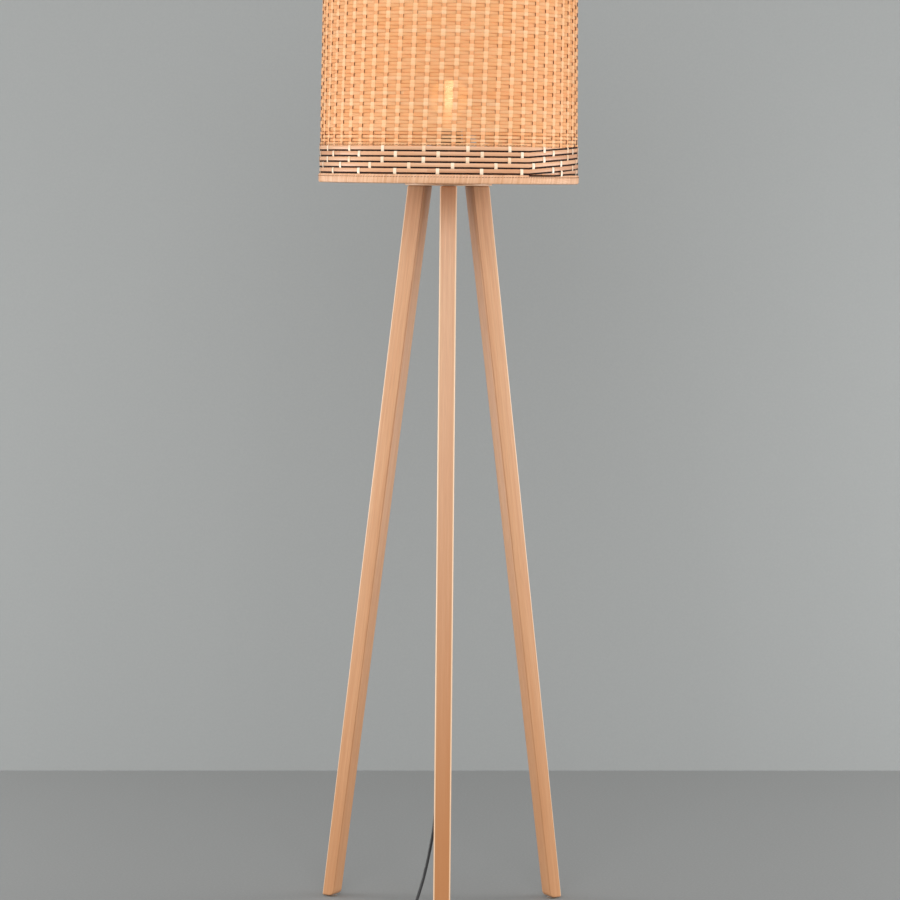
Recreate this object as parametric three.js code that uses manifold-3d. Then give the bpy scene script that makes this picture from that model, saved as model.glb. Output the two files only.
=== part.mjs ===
// Rattan floor lamp: three tapered timber legs under a round plate, an E27 lamp holder on the
// plate, a woven drum shade that hangs from the holder, and a black flex with a foot switch.
// Millimetres, +Z up. The origin is on the floor, under the axis of the plate and the shade,
// and the front leg points to -Y.

import * as THREE from "three";
import { mergeVertices } from "three/addons/utils/BufferGeometryUtils.js";
import Module from "manifold-3d";

// Clearances that many pieces share
const seatGap = 0.3;
const slideGap = 0.5;
const cutOverrun = 2;
const weldDistance = 1e-4;

// Plate that the legs and the lamp holder are fixed to
const hubUnderside = 1142;
const hubThickness = 20;
const hubRadius = 67.5;
const hubEdgeBevel = 1.5;

// Legs, each a flat tapered board with its narrow faces tangential
const legWidth = 26;
const legDepthTop = 31;
const legDepthFoot = 21;
const legRadiusTop = 51.3;
const legRadiusFoot = 205;
const legEdgeBevel = 1.2;
const footCornerRadius = 9;

// Felt pads under the feet
const padRadius = 9;
const padThickness = 2;

// Countersunk screws from the plate into each leg
const screwRadius = 2;
const screwHeadRadius = 4.2;
const screwHeadHeight = 2.6;
const screwLength = 55;
const screwPointLength = 6;
const screwPointRadius = 0.6;
const screwSpacing = 14;
const screwCircleRadius = 53;

// Threaded tube through the plate, with its washer and nut
const nippleRadius = 5;
const nippleBoreRadius = 3.2;
const nippleBelowPlate = 19;
const nippleAbovePlate = 8;
const washerRadius = 12;
const washerThickness = 1.5;
const nutAcrossFlats = 14;
const nutThickness = 5;

// Cord and the grip that it leaves by
const cordRadius = 2.5;
const gripRadius = 8;
const gripBarrelLength = 14;
const gripTaperLength = 24;
const gripTipRadius = 4.2;
const gripSocketDepth = 13;
const sheathStripHeight = 6;
const leadRadius = 0.9;
const leadSpacing = 2.4;

// Lamp holder
const holderHeight = 65;
const capFootRadius = 13;
const capRadius = 19.5;
const capHeight = 24;
const capShoulderHeight = 10;
const capWall = 2.5;
const shellRadius = 18.6;
const shellWall = 3.6;
const shellLedge = 2.4;
const collarRadius = 25;
const collarHeight = 3;
const collarRise = 8;
const ringThreadDepth = 0.9;
const ringThreadPitch = 4;
const ringThreadTurns = 3;
const carrierThickness = 7;
const terminalRadius = 1.6;
const terminalHeadRadius = 2.8;
const terminalHeadHeight = 1.8;
const terminalSpacing = 16;
const contactThickness = 0.5;
const contactWidth = 6;
const contactRise = 4.5;
const sleeveWall = 0.5;
const sleeveFlange = 1.8;
const sleeveHeight = 24;
const ringNutRadius = 27;
const ringNutHeight = 7;
const ringNutGrips = 8;
const ringNutGripRadius = 1.6;

// Opal bulb with a 27 mm screw cap
const bulbLength = 105;
const bulbGlobeRadius = 30;
const bulbNeckRadius = 13.2;
const bulbGlass = 1.2;
const bulbCapRadius = 13.1;
const bulbCapHeight = 22;
const bulbCapWall = 0.6;
const bulbThreadDepth = 0.8;
const bulbThreadPitch = 3.6;
const bulbThreadTurns = 4;
const insulatorHeight = 4;
const tipRadius = 4.5;
const tipHeight = 1.6;
const stemRadius = 3.5;
const stemHeight = 40;
const filamentRadius = 12;
const filamentThickness = 1;

// Shade
const shadeBottom = 1146;
const shadeHeight = 350;
const shadeRadius = 200;
const shadeTaper = 4;
const wallThickness = 2.8;
const shadeSides = 39;
const hoopWireRadius = 2;
const bindingHeight = 13.4;
const bindingProud = 1.2;
const bindingOuterWall = 2.2;
const bindingInnerWall = 1.5;
const bindingFloor = 1.5;
const bandRows = 5;
const stripWidth = 6.5;
const stripThickness = 1.1;
const strandWidth = 1.3;
const strandThickness = 1.3;
const bandGap = 0.3;
const climbSides = 6;
const climbEndSide = 10;
const fitterOuterRadius = 29.5;
const fitterThickness = 1.5;
const armCount = 3;
const armFlat = 14;
const armHookRise = 20;
const armHookReach = 9;

// Foot switch on the floor
const switchX = -98.9;
const switchY = -128.4;
const switchHeadingDegrees = 225;
const switchLength = 84;
const switchWidth = 34;
const switchHeight = 20;
const switchWall = 2;
const switchSplit = 9;
const switchCollarRadius = 4.4;
const switchCollarLength = 7;
const buttonRadius = 11;
const buttonPressedRise = 2;
const buttonTravel = 3;
const buttonFlange = 1.5;
const buttonFlangeHeight = 2;
const buttonSkirt = 6;
const springRadius = 4;
const springWire = 0.5;
const springTurns = 5;
const switchScrewInset = 12;
const switchBossRadius = 4;
const switchScrewRadius = 1.4;
const switchScrewHeadRadius = 2.6;
const switchScrewHeadHeight = 1.8;
const switchScrewLength = 13;
const switchContactLength = 26;
const switchContactWidth = 8;
const switchContactThickness = 0.8;

// Coil of the cord that is put away, and the tie round it
const coilX = -189.5;
const coilY = -164;
const coilMeanRadius = 30;
const coilPitch = 5.5;
const coilTurnsPerLayer = 3;
const coilEntryDegrees = 315;
const tieThickness = 0.6;
const tieWidth = 5;
const tieDegrees = 60;

// Flat two-pin plug
const plugX = -185;
const plugY = -104;
const plugHeadingDegrees = 40;
const plugLength = 34;
const plugWidth = 35;
const plugHeight = 14;
const plugCornerRadius = 6;
const plugTailLength = 10;
const plugTailRadius = 4.2;
const pinRadius = 2;
const pinLength = 19;
const pinSpacing = 18.6;

// Heights that follow from the sizes above
const hubTop = hubUnderside + hubThickness;
const holderBottom = hubTop + seatGap;
const holderLip = hubTop + holderHeight;
const shellBottom = holderBottom + capHeight + seatGap;
const collarTop = shellBottom + collarRise + collarHeight;
const carrierBottom = shellBottom + shellLedge + seatGap;
const carrierTop = carrierBottom + carrierThickness;
const contactTop = carrierTop + seatGap + contactRise;
const bulbBottom = contactTop + seatGap;
const bulbTop = bulbBottom + bulbLength;
const shadeTop = shadeBottom + shadeHeight;
const gripTop = hubUnderside - washerThickness - nutThickness - 3 * seatGap;
const gripBottom = gripTop - gripBarrelLength - gripTaperLength;
const bandBottom = shadeBottom + bindingHeight + bandGap;
const bandPitch = stripWidth + strandWidth + 2 * bandGap;
const bandTop = bandBottom + bandRows * bandPitch;
const fitterBottom = collarTop + seatGap;
const coilLowHeight = cordRadius + tieThickness + 2 * seatGap;
const coilHighHeight = coilLowHeight + coilPitch;
const plugCordHeight = plugHeight / 2 + seatGap;

// Finishes

function finish(colour, roughness, metalness) {
  return new THREE.MeshStandardMaterial({ color: colour, roughness, metalness });
}

const timber = finish(0xdba47e, 0.55, 0);
const felt = finish(0x6b5a4a, 0.95, 0);
const zincSteel = finish(0xb9bcc0, 0.35, 1);
const brass = finish(0xc9a24e, 0.3, 1);
const blackPlastic = finish(0x151515, 0.45, 0);
const ceramic = finish(0xe9e6dd, 0.4, 0);
const opalGlass = finish(0xfff1d6, 0.3, 0);
const capMetal = finish(0xc4c6c8, 0.3, 1);
const blackGlass = finish(0x101014, 0.15, 0);
const brownPvc = finish(0x5d3521, 0.4, 0);
const bluePvc = finish(0x2b5fa8, 0.4, 0);
const whiteWire = finish(0xd8d6d0, 0.5, 0.2);
const rattan = finish(0xf4b98a, 0.7, 0);
const rattanPeel = finish(0xf0bd90, 0.6, 0);
const blackCane = finish(0x28140f, 0.6, 0);
const flexPvc = finish(0x0c0c0d, 0.4, 0);

// Geometry helpers

const wasm = await Module();
wasm.setup();

// Merges the shared points, drops faces without area and turns the surface outwards.
function closed(geometry) {
  const bare = geometry.clone();
  bare.deleteAttribute("normal");
  bare.deleteAttribute("uv");
  const merged = mergeVertices(bare, weldDistance);
  const old = merged.getIndex().array;
  const faces = [];
  for (let i = 0; i < old.length; i += 3) {
    const [a, b, c] = [old[i], old[i + 1], old[i + 2]];
    if (a !== b && b !== c && c !== a) {
      faces.push(a, b, c);
    }
  }
  merged.setIndex(faces);
  if (volumeOf(merged) < 0) {
    for (let i = 0; i < faces.length; i += 3) {
      [faces[i + 1], faces[i + 2]] = [faces[i + 2], faces[i + 1]];
    }
    merged.setIndex(faces);
  }
  return merged;
}

function volumeOf(geometry) {
  const place = geometry.getAttribute("position");
  const index = geometry.getIndex().array;
  const [a, b, c] = [new THREE.Vector3(), new THREE.Vector3(), new THREE.Vector3()];
  let sum = 0;
  for (let i = 0; i < index.length; i += 3) {
    a.fromBufferAttribute(place, index[i]);
    b.fromBufferAttribute(place, index[i + 1]);
    c.fromBufferAttribute(place, index[i + 2]);
    sum += a.dot(b.cross(c)) / 6;
  }
  return sum;
}

function solid(geometry) {
  const merged = closed(geometry);
  const vertProperties = Float32Array.from(merged.getAttribute("position").array);
  const triVerts = Uint32Array.from(merged.getIndex().array);
  return new wasm.Manifold(new wasm.Mesh({ numProp: 3, vertProperties, triVerts }));
}

function shapeOf(manifold) {
  const mesh = manifold.getMesh();
  const geometry = new THREE.BufferGeometry();
  geometry.setAttribute("position", new THREE.BufferAttribute(mesh.vertProperties, 3));
  geometry.setIndex(new THREE.BufferAttribute(mesh.triVerts, 1));
  return geometry;
}

// Cuts each tool out of the body and gives the result as a geometry.
function cut(body, tools) {
  return shapeOf(tools.reduce((left, tool) => left.subtract(solid(tool)), solid(body)));
}

function join(bodies) {
  const [first, ...others] = bodies.map(solid);
  return shapeOf(others.reduce((whole, other) => whole.add(other), first));
}

// A profile of [radius, height] points turned about +Z. It starts and ends on the axis, or it
// is a ring's section, which closes on itself.
function turned(profile, sides, startAngle = 0) {
  const points = profile.map(([radius, height]) => new THREE.Vector2(radius, height));
  const first = points[0];
  const last = points[points.length - 1];
  if (first.x > 0 || last.x > 0) {
    points.push(first.clone());
  }
  return closed(new THREE.LatheGeometry(points, sides, startAngle).rotateX(Math.PI / 2));
}

function rod(radius, bottom, top, sides) {
  return turned([[0, bottom], [radius, bottom], [radius, top], [0, top]], sides);
}

function tube(innerRadius, outerRadius, bottom, top, sides) {
  const section = [
    [innerRadius, bottom],
    [outerRadius, bottom],
    [outerRadius, top],
    [innerRadius, top],
  ];
  return turned(section, sides);
}

function polygon(radius, sides) {
  const shape = new THREE.Shape();
  for (let i = 0; i < sides; i += 1) {
    const angle = (2 * Math.PI * (i + 0.5)) / sides;
    const [x, y] = [radius * Math.cos(angle), radius * Math.sin(angle)];
    if (i === 0) {
      shape.moveTo(x, y);
    } else {
      shape.lineTo(x, y);
    }
  }
  shape.closePath();
  return shape;
}

// A round bar along a curve.
function bar(curve, radius, sides, steps) {
  const options = { steps, extrudePath: curve, bevelEnabled: false };
  return closed(new THREE.ExtrudeGeometry(polygon(radius, sides), options));
}

// A plain slab: a shape in X and Y, raised from one height to another.
function slab(shape, bottom, top) {
  const options = { depth: top - bottom, bevelEnabled: false, curveSegments: 4 };
  return closed(new THREE.ExtrudeGeometry(shape, options).translate(0, 0, bottom));
}

// A tube through rings of points, each ring as long as the next, closed by a face at each end.
function skinned(rings) {
  const sides = rings[0].length;
  const places = rings.flat().flatMap((point) => [point.x, point.y, point.z]);
  const faces = [];
  for (let i = 0; i + 1 < rings.length; i += 1) {
    for (let k = 0; k < sides; k += 1) {
      const [a, b] = [i * sides + k, i * sides + ((k + 1) % sides)];
      faces.push(a, b, a + sides, b, b + sides, a + sides);
    }
  }
  const end = (rings.length - 1) * sides;
  for (let k = 1; k + 1 < sides; k += 1) {
    faces.push(0, k + 1, k, end, end + k, end + k + 1);
  }
  const geometry = new THREE.BufferGeometry();
  geometry.setAttribute("position", new THREE.Float32BufferAttribute(places, 3));
  geometry.setIndex(faces);
  return closed(geometry);
}

// A rectangle with round corners, centred on the origin.
function roundedRectangle(length, width, radius) {
  const [x, y] = [length / 2, width / 2];
  const shape = new THREE.Shape();
  shape.moveTo(-x + radius, -y);
  shape.lineTo(x - radius, -y);
  shape.absarc(x - radius, -y + radius, radius, -Math.PI / 2, 0);
  shape.lineTo(x, y - radius);
  shape.absarc(x - radius, y - radius, radius, 0, Math.PI / 2);
  shape.lineTo(-x + radius, y);
  shape.absarc(-x + radius, y - radius, radius, Math.PI / 2, Math.PI);
  shape.lineTo(-x, -y + radius);
  shape.absarc(-x + radius, -y + radius, radius, Math.PI, 1.5 * Math.PI);
  return shape;
}

function mesh(name, geometry, material) {
  const made = new THREE.Mesh(geometry, material);
  made.name = name;
  return made;
}

function radians(degrees) {
  return (degrees * Math.PI) / 180;
}

function group(...children) {
  const made = new THREE.Group();
  made.add(...children);
  return made;
}

// Stand

function hubPlate() {
  const bore = nippleRadius + slideGap;
  const disc = turned(
    [
      [bore, hubUnderside],
      [hubRadius - hubEdgeBevel, hubUnderside],
      [hubRadius, hubUnderside + hubEdgeBevel],
      [hubRadius, hubTop - hubEdgeBevel],
      [hubRadius - hubEdgeBevel, hubTop],
      [bore, hubTop],
    ],
    36,
  );
  const holes = legAngles().flatMap((angle) => screwPlaces().map(([x, y]) => (
    screwHole().translate(x, y, 0).rotateZ(angle)
  )));
  return mesh("hub_plate", cut(disc, holes), timber);
}

function legAngles() {
  return [-90, 150, 30].map(radians);
}

// The two screws of a leg, in the leg's own frame, with X outwards.
function screwPlaces() {
  return [-1, 1].map((side) => [screwCircleRadius, (side * screwSpacing) / 2]);
}

function screwHole() {
  const [shank, head] = [screwRadius + seatGap, screwHeadRadius + seatGap];
  return turned(
    [
      [0, hubUnderside - cutOverrun],
      [shank, hubUnderside - cutOverrun],
      [shank, hubTop - seatGap - screwHeadHeight],
      [head, hubTop - seatGap],
      [head, hubTop + cutOverrun],
      [0, hubTop + cutOverrun],
    ],
    8,
  );
}

function legScrew() {
  const top = hubTop - seatGap;
  const point = top - screwLength;
  return turned(
    [
      [0, point],
      [screwPointRadius, point],
      [screwRadius, point + screwPointLength],
      [screwRadius, top - screwHeadHeight],
      [screwHeadRadius, top],
      [0, top],
    ],
    8,
  );
}

function legRadiusAt(height) {
  const share = height / hubUnderside;
  return legRadiusFoot + (legRadiusTop - legRadiusFoot) * share;
}

function legDepthAt(height) {
  const share = height / hubUnderside;
  return legDepthFoot + (legDepthTop - legDepthFoot) * share;
}

// The side view of a leg, outwards and up, with the inner corner of its foot rounded.
function legOutline() {
  const [bottom, top] = [padThickness + seatGap, hubUnderside - seatGap];
  const inner = (height) => legRadiusAt(height) - legDepthAt(height) / 2;
  const outer = (height) => legRadiusAt(height) + legDepthAt(height) / 2;
  const shape = new THREE.Shape();
  shape.moveTo(inner(bottom) + footCornerRadius, bottom);
  shape.lineTo(outer(bottom), bottom);
  shape.lineTo(outer(top), top);
  shape.lineTo(inner(top), top);
  shape.lineTo(inner(bottom + footCornerRadius), bottom + footCornerRadius);
  shape.quadraticCurveTo(
    inner(bottom),
    bottom,
    inner(bottom) + footCornerRadius,
    bottom,
  );
  return shape;
}

function legBoard() {
  const options = {
    depth: legWidth - 2 * legEdgeBevel,
    bevelEnabled: true,
    bevelThickness: legEdgeBevel,
    bevelSize: legEdgeBevel,
    bevelOffset: -legEdgeBevel,
    bevelSegments: 1,
    curveSegments: 4,
  };
  const board = new THREE.ExtrudeGeometry(legOutline(), options);
  board.rotateX(Math.PI / 2).translate(0, legWidth / 2 - legEdgeBevel, 0);
  const depth = hubTop - screwLength - cutOverrun;
  const holes = screwPlaces().map(([x, y]) => (
    rod(screwRadius + seatGap, depth, hubUnderside + cutOverrun, 8).translate(x, y, 0)
  ));
  return cut(board, holes);
}

function leg(side, angle) {
  const padPlace = legRadiusAt(0);
  const pad = rod(padRadius, 0, padThickness, 16).translate(padPlace, 0, 0);
  const assembly = group(
    mesh(`leg_${side}`, legBoard(), timber),
    mesh(`felt_pad_${side}`, pad, felt),
    ...screwPlaces().map(([x, y], i) => (
      mesh(`leg_screw_${side}_${i + 1}`, legScrew().translate(x, y, 0), zincSteel)
    )),
  );
  assembly.rotation.z = angle;
  return assembly;
}

function threadedTube() {
  const bottom = hubUnderside - nippleBelowPlate;
  const top = hubTop + nippleAbovePlate;
  return mesh("threaded_tube", tube(nippleBoreRadius, nippleRadius, bottom, top, 16), zincSteel);
}

function tubeWasher() {
  const top = hubUnderside - seatGap;
  const ring = tube(nippleRadius + seatGap, washerRadius, top - washerThickness, top, 20);
  return mesh("tube_washer", ring, zincSteel);
}

function tubeNut() {
  const top = hubUnderside - washerThickness - 2 * seatGap;
  const corner = nutAcrossFlats / 2 / Math.cos(Math.PI / 6);
  const hexagon = slab(polygon(corner, 6), top - nutThickness, top);
  const reach = nutThickness + cutOverrun;
  const bore = rod(nippleRadius + seatGap, top - reach, top + cutOverrun, 16);
  return mesh("tube_nut", cut(hexagon, [bore]), zincSteel);
}

function cordGrip() {
  const barrelBottom = gripTop - gripBarrelLength;
  const bore = cordRadius + seatGap;
  const socket = nippleRadius + seatGap;
  const body = turned(
    [
      [bore, gripBottom],
      [gripTipRadius, gripBottom],
      [gripRadius, barrelBottom],
      [gripRadius, gripTop],
      [socket, gripTop],
      [socket, gripTop - gripSocketDepth],
      [bore, gripTop - gripSocketDepth],
    ],
    16,
  );
  return mesh("cord_grip", body, blackPlastic);
}

function sheathTop() {
  return hubTop + nippleAbovePlate + sheathStripHeight;
}

function cordInTube() {
  return mesh("cord_in_tube", rod(cordRadius, gripBottom, sheathTop(), 8), flexPvc);
}

function lead(name, side) {
  const start = new THREE.Vector3((side * leadSpacing) / 2, 0, sheathTop() + seatGap);
  const end = new THREE.Vector3((side * terminalSpacing) / 2, 0, carrierBottom - seatGap);
  const middle = (start.z + end.z) / 2;
  const curve = new THREE.CubicBezierCurve3(
    start,
    new THREE.Vector3(start.x, 0, middle),
    new THREE.Vector3(end.x, 0, middle),
    end,
  );
  return mesh(name, bar(curve, leadRadius, 6, 6), side > 0 ? brownPvc : bluePvc);
}

function stand() {
  const sides = ["front", "left", "right"];
  return group(
    hubPlate(),
    ...legAngles().map((angle, i) => leg(sides[i], angle)),
    threadedTube(),
    tubeWasher(),
    tubeNut(),
    cordGrip(),
    cordInTube(),
    lead("lead_live", 1),
    lead("lead_neutral", -1),
  );
}

// Lamp holder

function holderCap() {
  const bore = nippleRadius + seatGap;
  const [bottom, top] = [holderBottom, holderBottom + capHeight];
  const shoulder = bottom + capShoulderHeight;
  const body = turned(
    [
      [bore, bottom],
      [capFootRadius, bottom],
      [capRadius, shoulder],
      [capRadius, top],
      [capRadius - capWall, top],
      [capRadius - capWall, shoulder],
      [capFootRadius - capWall, bottom + capWall],
      [bore, bottom + capWall],
    ],
    20,
  );
  return mesh("holder_cap", body, blackPlastic);
}

// The crests of a thread as a saw-tooth of [radius, height] points, without their lead, so that
// the piece can turn in its seat.
function threadCrests(root, depth, bottom, pitch, turns) {
  const points = [];
  for (let i = 0; i < turns; i += 1) {
    const start = bottom + i * pitch;
    points.push([root, start], [root + depth, start + pitch / 2]);
  }
  points.push([root, bottom + turns * pitch]);
  return points;
}

function holderShell() {
  const inner = shellRadius - shellWall;
  const collarBottom = collarTop - collarHeight;
  const threadBottom = collarTop + seatGap + fitterThickness;
  const body = turned(
    [
      [inner - shellLedge, shellBottom],
      [shellRadius, shellBottom],
      [shellRadius, collarBottom],
      [collarRadius, collarBottom],
      [collarRadius, collarTop],
      [shellRadius, collarTop],
      ...threadCrests(shellRadius, ringThreadDepth, threadBottom, ringThreadPitch, ringThreadTurns),
      [shellRadius, holderLip],
      [inner, holderLip],
      [inner, shellBottom + shellLedge],
      [inner - shellLedge, shellBottom + shellLedge],
    ],
    20,
  );
  return mesh("holder_shell", body, blackPlastic);
}

function holderBore() {
  return shellRadius - shellWall - seatGap;
}

function contactCarrier() {
  const disc = rod(holderBore(), carrierBottom, carrierTop, 20);
  const holes = [-1, 1].map((side) => (
    rod(terminalRadius + seatGap, carrierBottom - cutOverrun, carrierTop + cutOverrun, 8)
      .translate((side * terminalSpacing) / 2, 0, 0)
  ));
  return mesh("contact_carrier", cut(disc, holes), ceramic);
}

function terminalScrew(name, side) {
  const seat = carrierTop + 2 * seatGap + contactThickness;
  const body = turned(
    [
      [0, carrierBottom],
      [terminalRadius, carrierBottom],
      [terminalRadius, seat],
      [terminalHeadRadius, seat],
      [terminalHeadRadius, seat + terminalHeadHeight],
      [0, seat + terminalHeadHeight],
    ],
    8,
  );
  return mesh(name, body.translate((side * terminalSpacing) / 2, 0, 0), brass);
}

// A strip that is held by the live terminal and springs up under the tip of the bulb.
function centreContact() {
  const bottom = carrierTop + seatGap;
  const reach = terminalSpacing / 2 + terminalHeadRadius;
  const [end, heel] = [-contactWidth / 2, terminalSpacing / 2 - terminalHeadRadius - slideGap];
  const shape = new THREE.Shape();
  shape.moveTo(reach, bottom);
  shape.lineTo(reach, bottom + contactThickness);
  shape.lineTo(heel, bottom + contactThickness);
  shape.lineTo(-end, contactTop);
  shape.lineTo(end, contactTop);
  shape.lineTo(end, contactTop - contactThickness);
  shape.lineTo(-end - contactThickness, contactTop - contactThickness);
  shape.lineTo(heel - contactThickness, bottom);
  const strip = slab(shape, -contactWidth / 2, contactWidth / 2).rotateX(Math.PI / 2);
  const hole = rod(terminalRadius + seatGap, bottom - cutOverrun, bottom + cutOverrun, 8);
  return mesh("centre_contact", cut(strip, [hole.translate(terminalSpacing / 2, 0, 0)]), brass);
}

// The neutral contact: a sleeve round the bulb's cap, with a foot on the carrier's rim.
function screwSleeve() {
  const outer = holderBore();
  const inner = outer - sleeveWall;
  const bottom = carrierTop + seatGap;
  const body = turned(
    [
      [outer - sleeveFlange, bottom],
      [outer, bottom],
      [outer, bottom + sleeveHeight],
      [inner, bottom + sleeveHeight],
      [inner, bottom + sleeveWall],
      [outer - sleeveFlange, bottom + sleeveWall],
    ],
    20,
  );
  return mesh("screw_sleeve", body, brass);
}

function ringNut() {
  const bottom = fitterBottom + fitterThickness + seatGap;
  const inner = shellRadius + ringThreadDepth + slideGap;
  const ring = tube(inner, ringNutRadius, bottom, bottom + ringNutHeight, 24);
  const notches = [];
  for (let i = 0; i < ringNutGrips; i += 1) {
    const angle = (2 * Math.PI * i) / ringNutGrips;
    const notch = rod(ringNutGripRadius, bottom - cutOverrun, bottom + ringNutHeight + cutOverrun, 6);
    notches.push(notch.translate(ringNutRadius, 0, 0).rotateZ(angle));
  }
  return mesh("shade_ring_nut", cut(ring, notches), blackPlastic);
}

function lampHolder() {
  return group(
    holderCap(),
    holderShell(),
    contactCarrier(),
    terminalScrew("terminal_screw_live", 1),
    terminalScrew("terminal_screw_neutral", -1),
    centreContact(),
    screwSleeve(),
    ringNut(),
  );
}

// Bulb

function bulbCap() {
  const bottom = bulbBottom + tipHeight + insulatorHeight;
  const top = bulbBottom + tipHeight + insulatorHeight + bulbCapHeight;
  const root = bulbCapRadius - bulbThreadDepth;
  const threadBottom = bottom + bulbThreadPitch / 2;
  const inner = root - bulbCapWall;
  const body = turned(
    [
      [inner, bottom],
      [root, bottom],
      ...threadCrests(root, bulbThreadDepth, threadBottom, bulbThreadPitch, bulbThreadTurns),
      [root, top],
      [inner, top],
    ],
    20,
  );
  return mesh("bulb_cap", body, capMetal);
}

function bulbInsulator() {
  const [bottom, top] = [bulbBottom + tipHeight + seatGap, bulbBottom + tipHeight + insulatorHeight];
  const wide = bulbCapRadius - bulbThreadDepth - bulbCapWall - seatGap;
  const body = turned(
    [
      [0, bottom],
      [tipRadius, bottom],
      [wide, top],
      [wide, top + insulatorHeight],
      [0, top + insulatorHeight],
    ],
    16,
  );
  return mesh("bulb_insulator", body, blackGlass);
}

function bulbTip() {
  const body = turned(
    [
      [0, bulbBottom],
      [tipRadius - tipHeight, bulbBottom],
      [tipRadius, bulbBottom + tipHeight],
      [0, bulbBottom + tipHeight],
    ],
    12,
  );
  return mesh("bulb_tip", body, capMetal);
}

// The wall of the glass: a neck that swells into a ball.
function globeCurve(inset) {
  const neckBottom = bulbBottom + tipHeight + insulatorHeight + bulbCapHeight + seatGap;
  const ballCentre = bulbTop - bulbGlobeRadius;
  const ball = bulbGlobeRadius - inset;
  const neck = bulbNeckRadius - inset;
  const lowestAngle = -Math.PI / 4;
  const joinRadius = ball * Math.cos(lowestAngle);
  const joinHeight = ballCentre + ball * Math.sin(lowestAngle);
  const points = [[neck, neckBottom]];
  points.push([(2 * neck + joinRadius) / 3, (2 * neckBottom + joinHeight) / 3]);
  for (let i = 0; i <= 6; i += 1) {
    const angle = lowestAngle + ((Math.PI / 2 - lowestAngle) * i) / 6;
    points.push([i === 6 ? 0 : ball * Math.cos(angle), ballCentre + ball * Math.sin(angle)]);
  }
  return points;
}

function bulbGlobe() {
  const profile = [...globeCurve(0).reverse(), ...globeCurve(bulbGlass)];
  return mesh("bulb_globe", turned(profile, 20), opalGlass);
}

// The glass stem with the filament that it carries.
function bulbStem() {
  const bottom = bulbBottom + tipHeight + insulatorHeight + bulbCapHeight + seatGap;
  const top = bottom + stemHeight;
  const foot = bulbNeckRadius - bulbGlass - seatGap;
  const flareTop = bottom + foot - stemRadius;
  const stem = turned(
    [[0, bottom], [foot, bottom], [stemRadius, flareTop], [stemRadius, top], [0, top]],
    10,
  );
  const arc = new THREE.CatmullRomCurve3([
    new THREE.Vector3(-filamentRadius, 0, top + filamentRadius),
    new THREE.Vector3(0, 0, top - filamentThickness),
    new THREE.Vector3(filamentRadius, 0, top + filamentRadius),
  ]);
  return mesh("bulb_stem", join([stem, bar(arc, filamentThickness, 5, 8)]), ceramic);
}

function bulb() {
  return group(bulbGlobe(), bulbStem(), bulbCap(), bulbInsulator(), bulbTip());
}

// Shade

// The shade is widest at its lower rim, and the taper is the radius that it loses on its way up.
function shadeRadiusAt(height) {
  return shadeRadius - (shadeTaper * (height - shadeBottom)) / shadeHeight;
}

function hoopHeight(end) {
  const inset = bindingFloor + seatGap + hoopWireRadius;
  return end > 0 ? shadeTop - inset : shadeBottom + inset;
}

// The radius of a wire's middle that lies along the inside of the wall.
function wireRadiusAt(height) {
  return shadeRadiusAt(height) - wallThickness - seatGap - hoopWireRadius;
}

function hoop(name, end) {
  const section = [];
  for (let i = 0; i < 6; i += 1) {
    const angle = (Math.PI * i) / 3;
    section.push([
      wireRadiusAt(hoopHeight(end)) + hoopWireRadius * Math.cos(angle),
      hoopHeight(end) + hoopWireRadius * Math.sin(angle),
    ]);
  }
  return mesh(name, turned(section, shadeSides), whiteWire);
}

// The woven wall. Behind the band only its stakes run on, so it is thinner there and inside
// the bindings, which lie over it.
function wovenWall() {
  const lies = Math.max(stripThickness, strandThickness, bindingOuterWall - bindingProud);
  const recess = lies + bandGap;
  const inset = bindingFloor + seatGap;
  const [bottom, top] = [shadeBottom + inset, shadeTop - inset];
  const bindingEdge = shadeTop - bindingHeight - seatGap;
  const outer = (height, depth) => [shadeRadiusAt(height) - depth, height];
  const wall = turned(
    [
      outer(bottom, wallThickness),
      outer(bottom, recess),
      outer(bandTop, recess),
      outer(bandTop, 0),
      outer(bindingEdge, 0),
      outer(bindingEdge, recess),
      outer(top, recess),
      outer(top, wallThickness),
    ],
    shadeSides,
  );
  return mesh("woven_wall", wall, rattan);
}

// The wrapped edge: a channel round the hoop and the ends of the stakes.
function bindingSection(end) {
  const edge = end > 0 ? shadeTop : shadeBottom;
  const outer = (height) => shadeRadiusAt(height) + bindingProud;
  const outerFace = (height) => outer(height) - bindingOuterWall;
  const innerFace = (height) => wireRadiusAt(height) - hoopWireRadius - seatGap;
  const inner = (height) => innerFace(height) - bindingInnerWall;
  const corner = (radiusAt, rise) => [radiusAt(edge - end * rise), edge - end * rise];
  return [
    corner(outer, 0),
    corner(outer, bindingHeight),
    corner(outerFace, bindingHeight),
    corner(outerFace, bindingFloor),
    corner(innerFace, bindingFloor),
    corner(innerFace, bindingHeight),
    corner(inner, bindingHeight),
    corner(inner, 0),
  ];
}

function binding(name, end) {
  return mesh(name, turned(bindingSection(end), shadeSides), rattanPeel);
}

// How far one winding of the band has risen, in rows: level for most of the turn, then a climb
// to the next row.
function rowsRisen(side) {
  const turn = Math.floor(side / shadeSides);
  const level = shadeSides - climbSides;
  const past = Math.max(0, side - turn * shadeSides - level);
  const share = past / climbSides;
  return turn + share * share * (3 - 2 * share);
}

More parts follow.
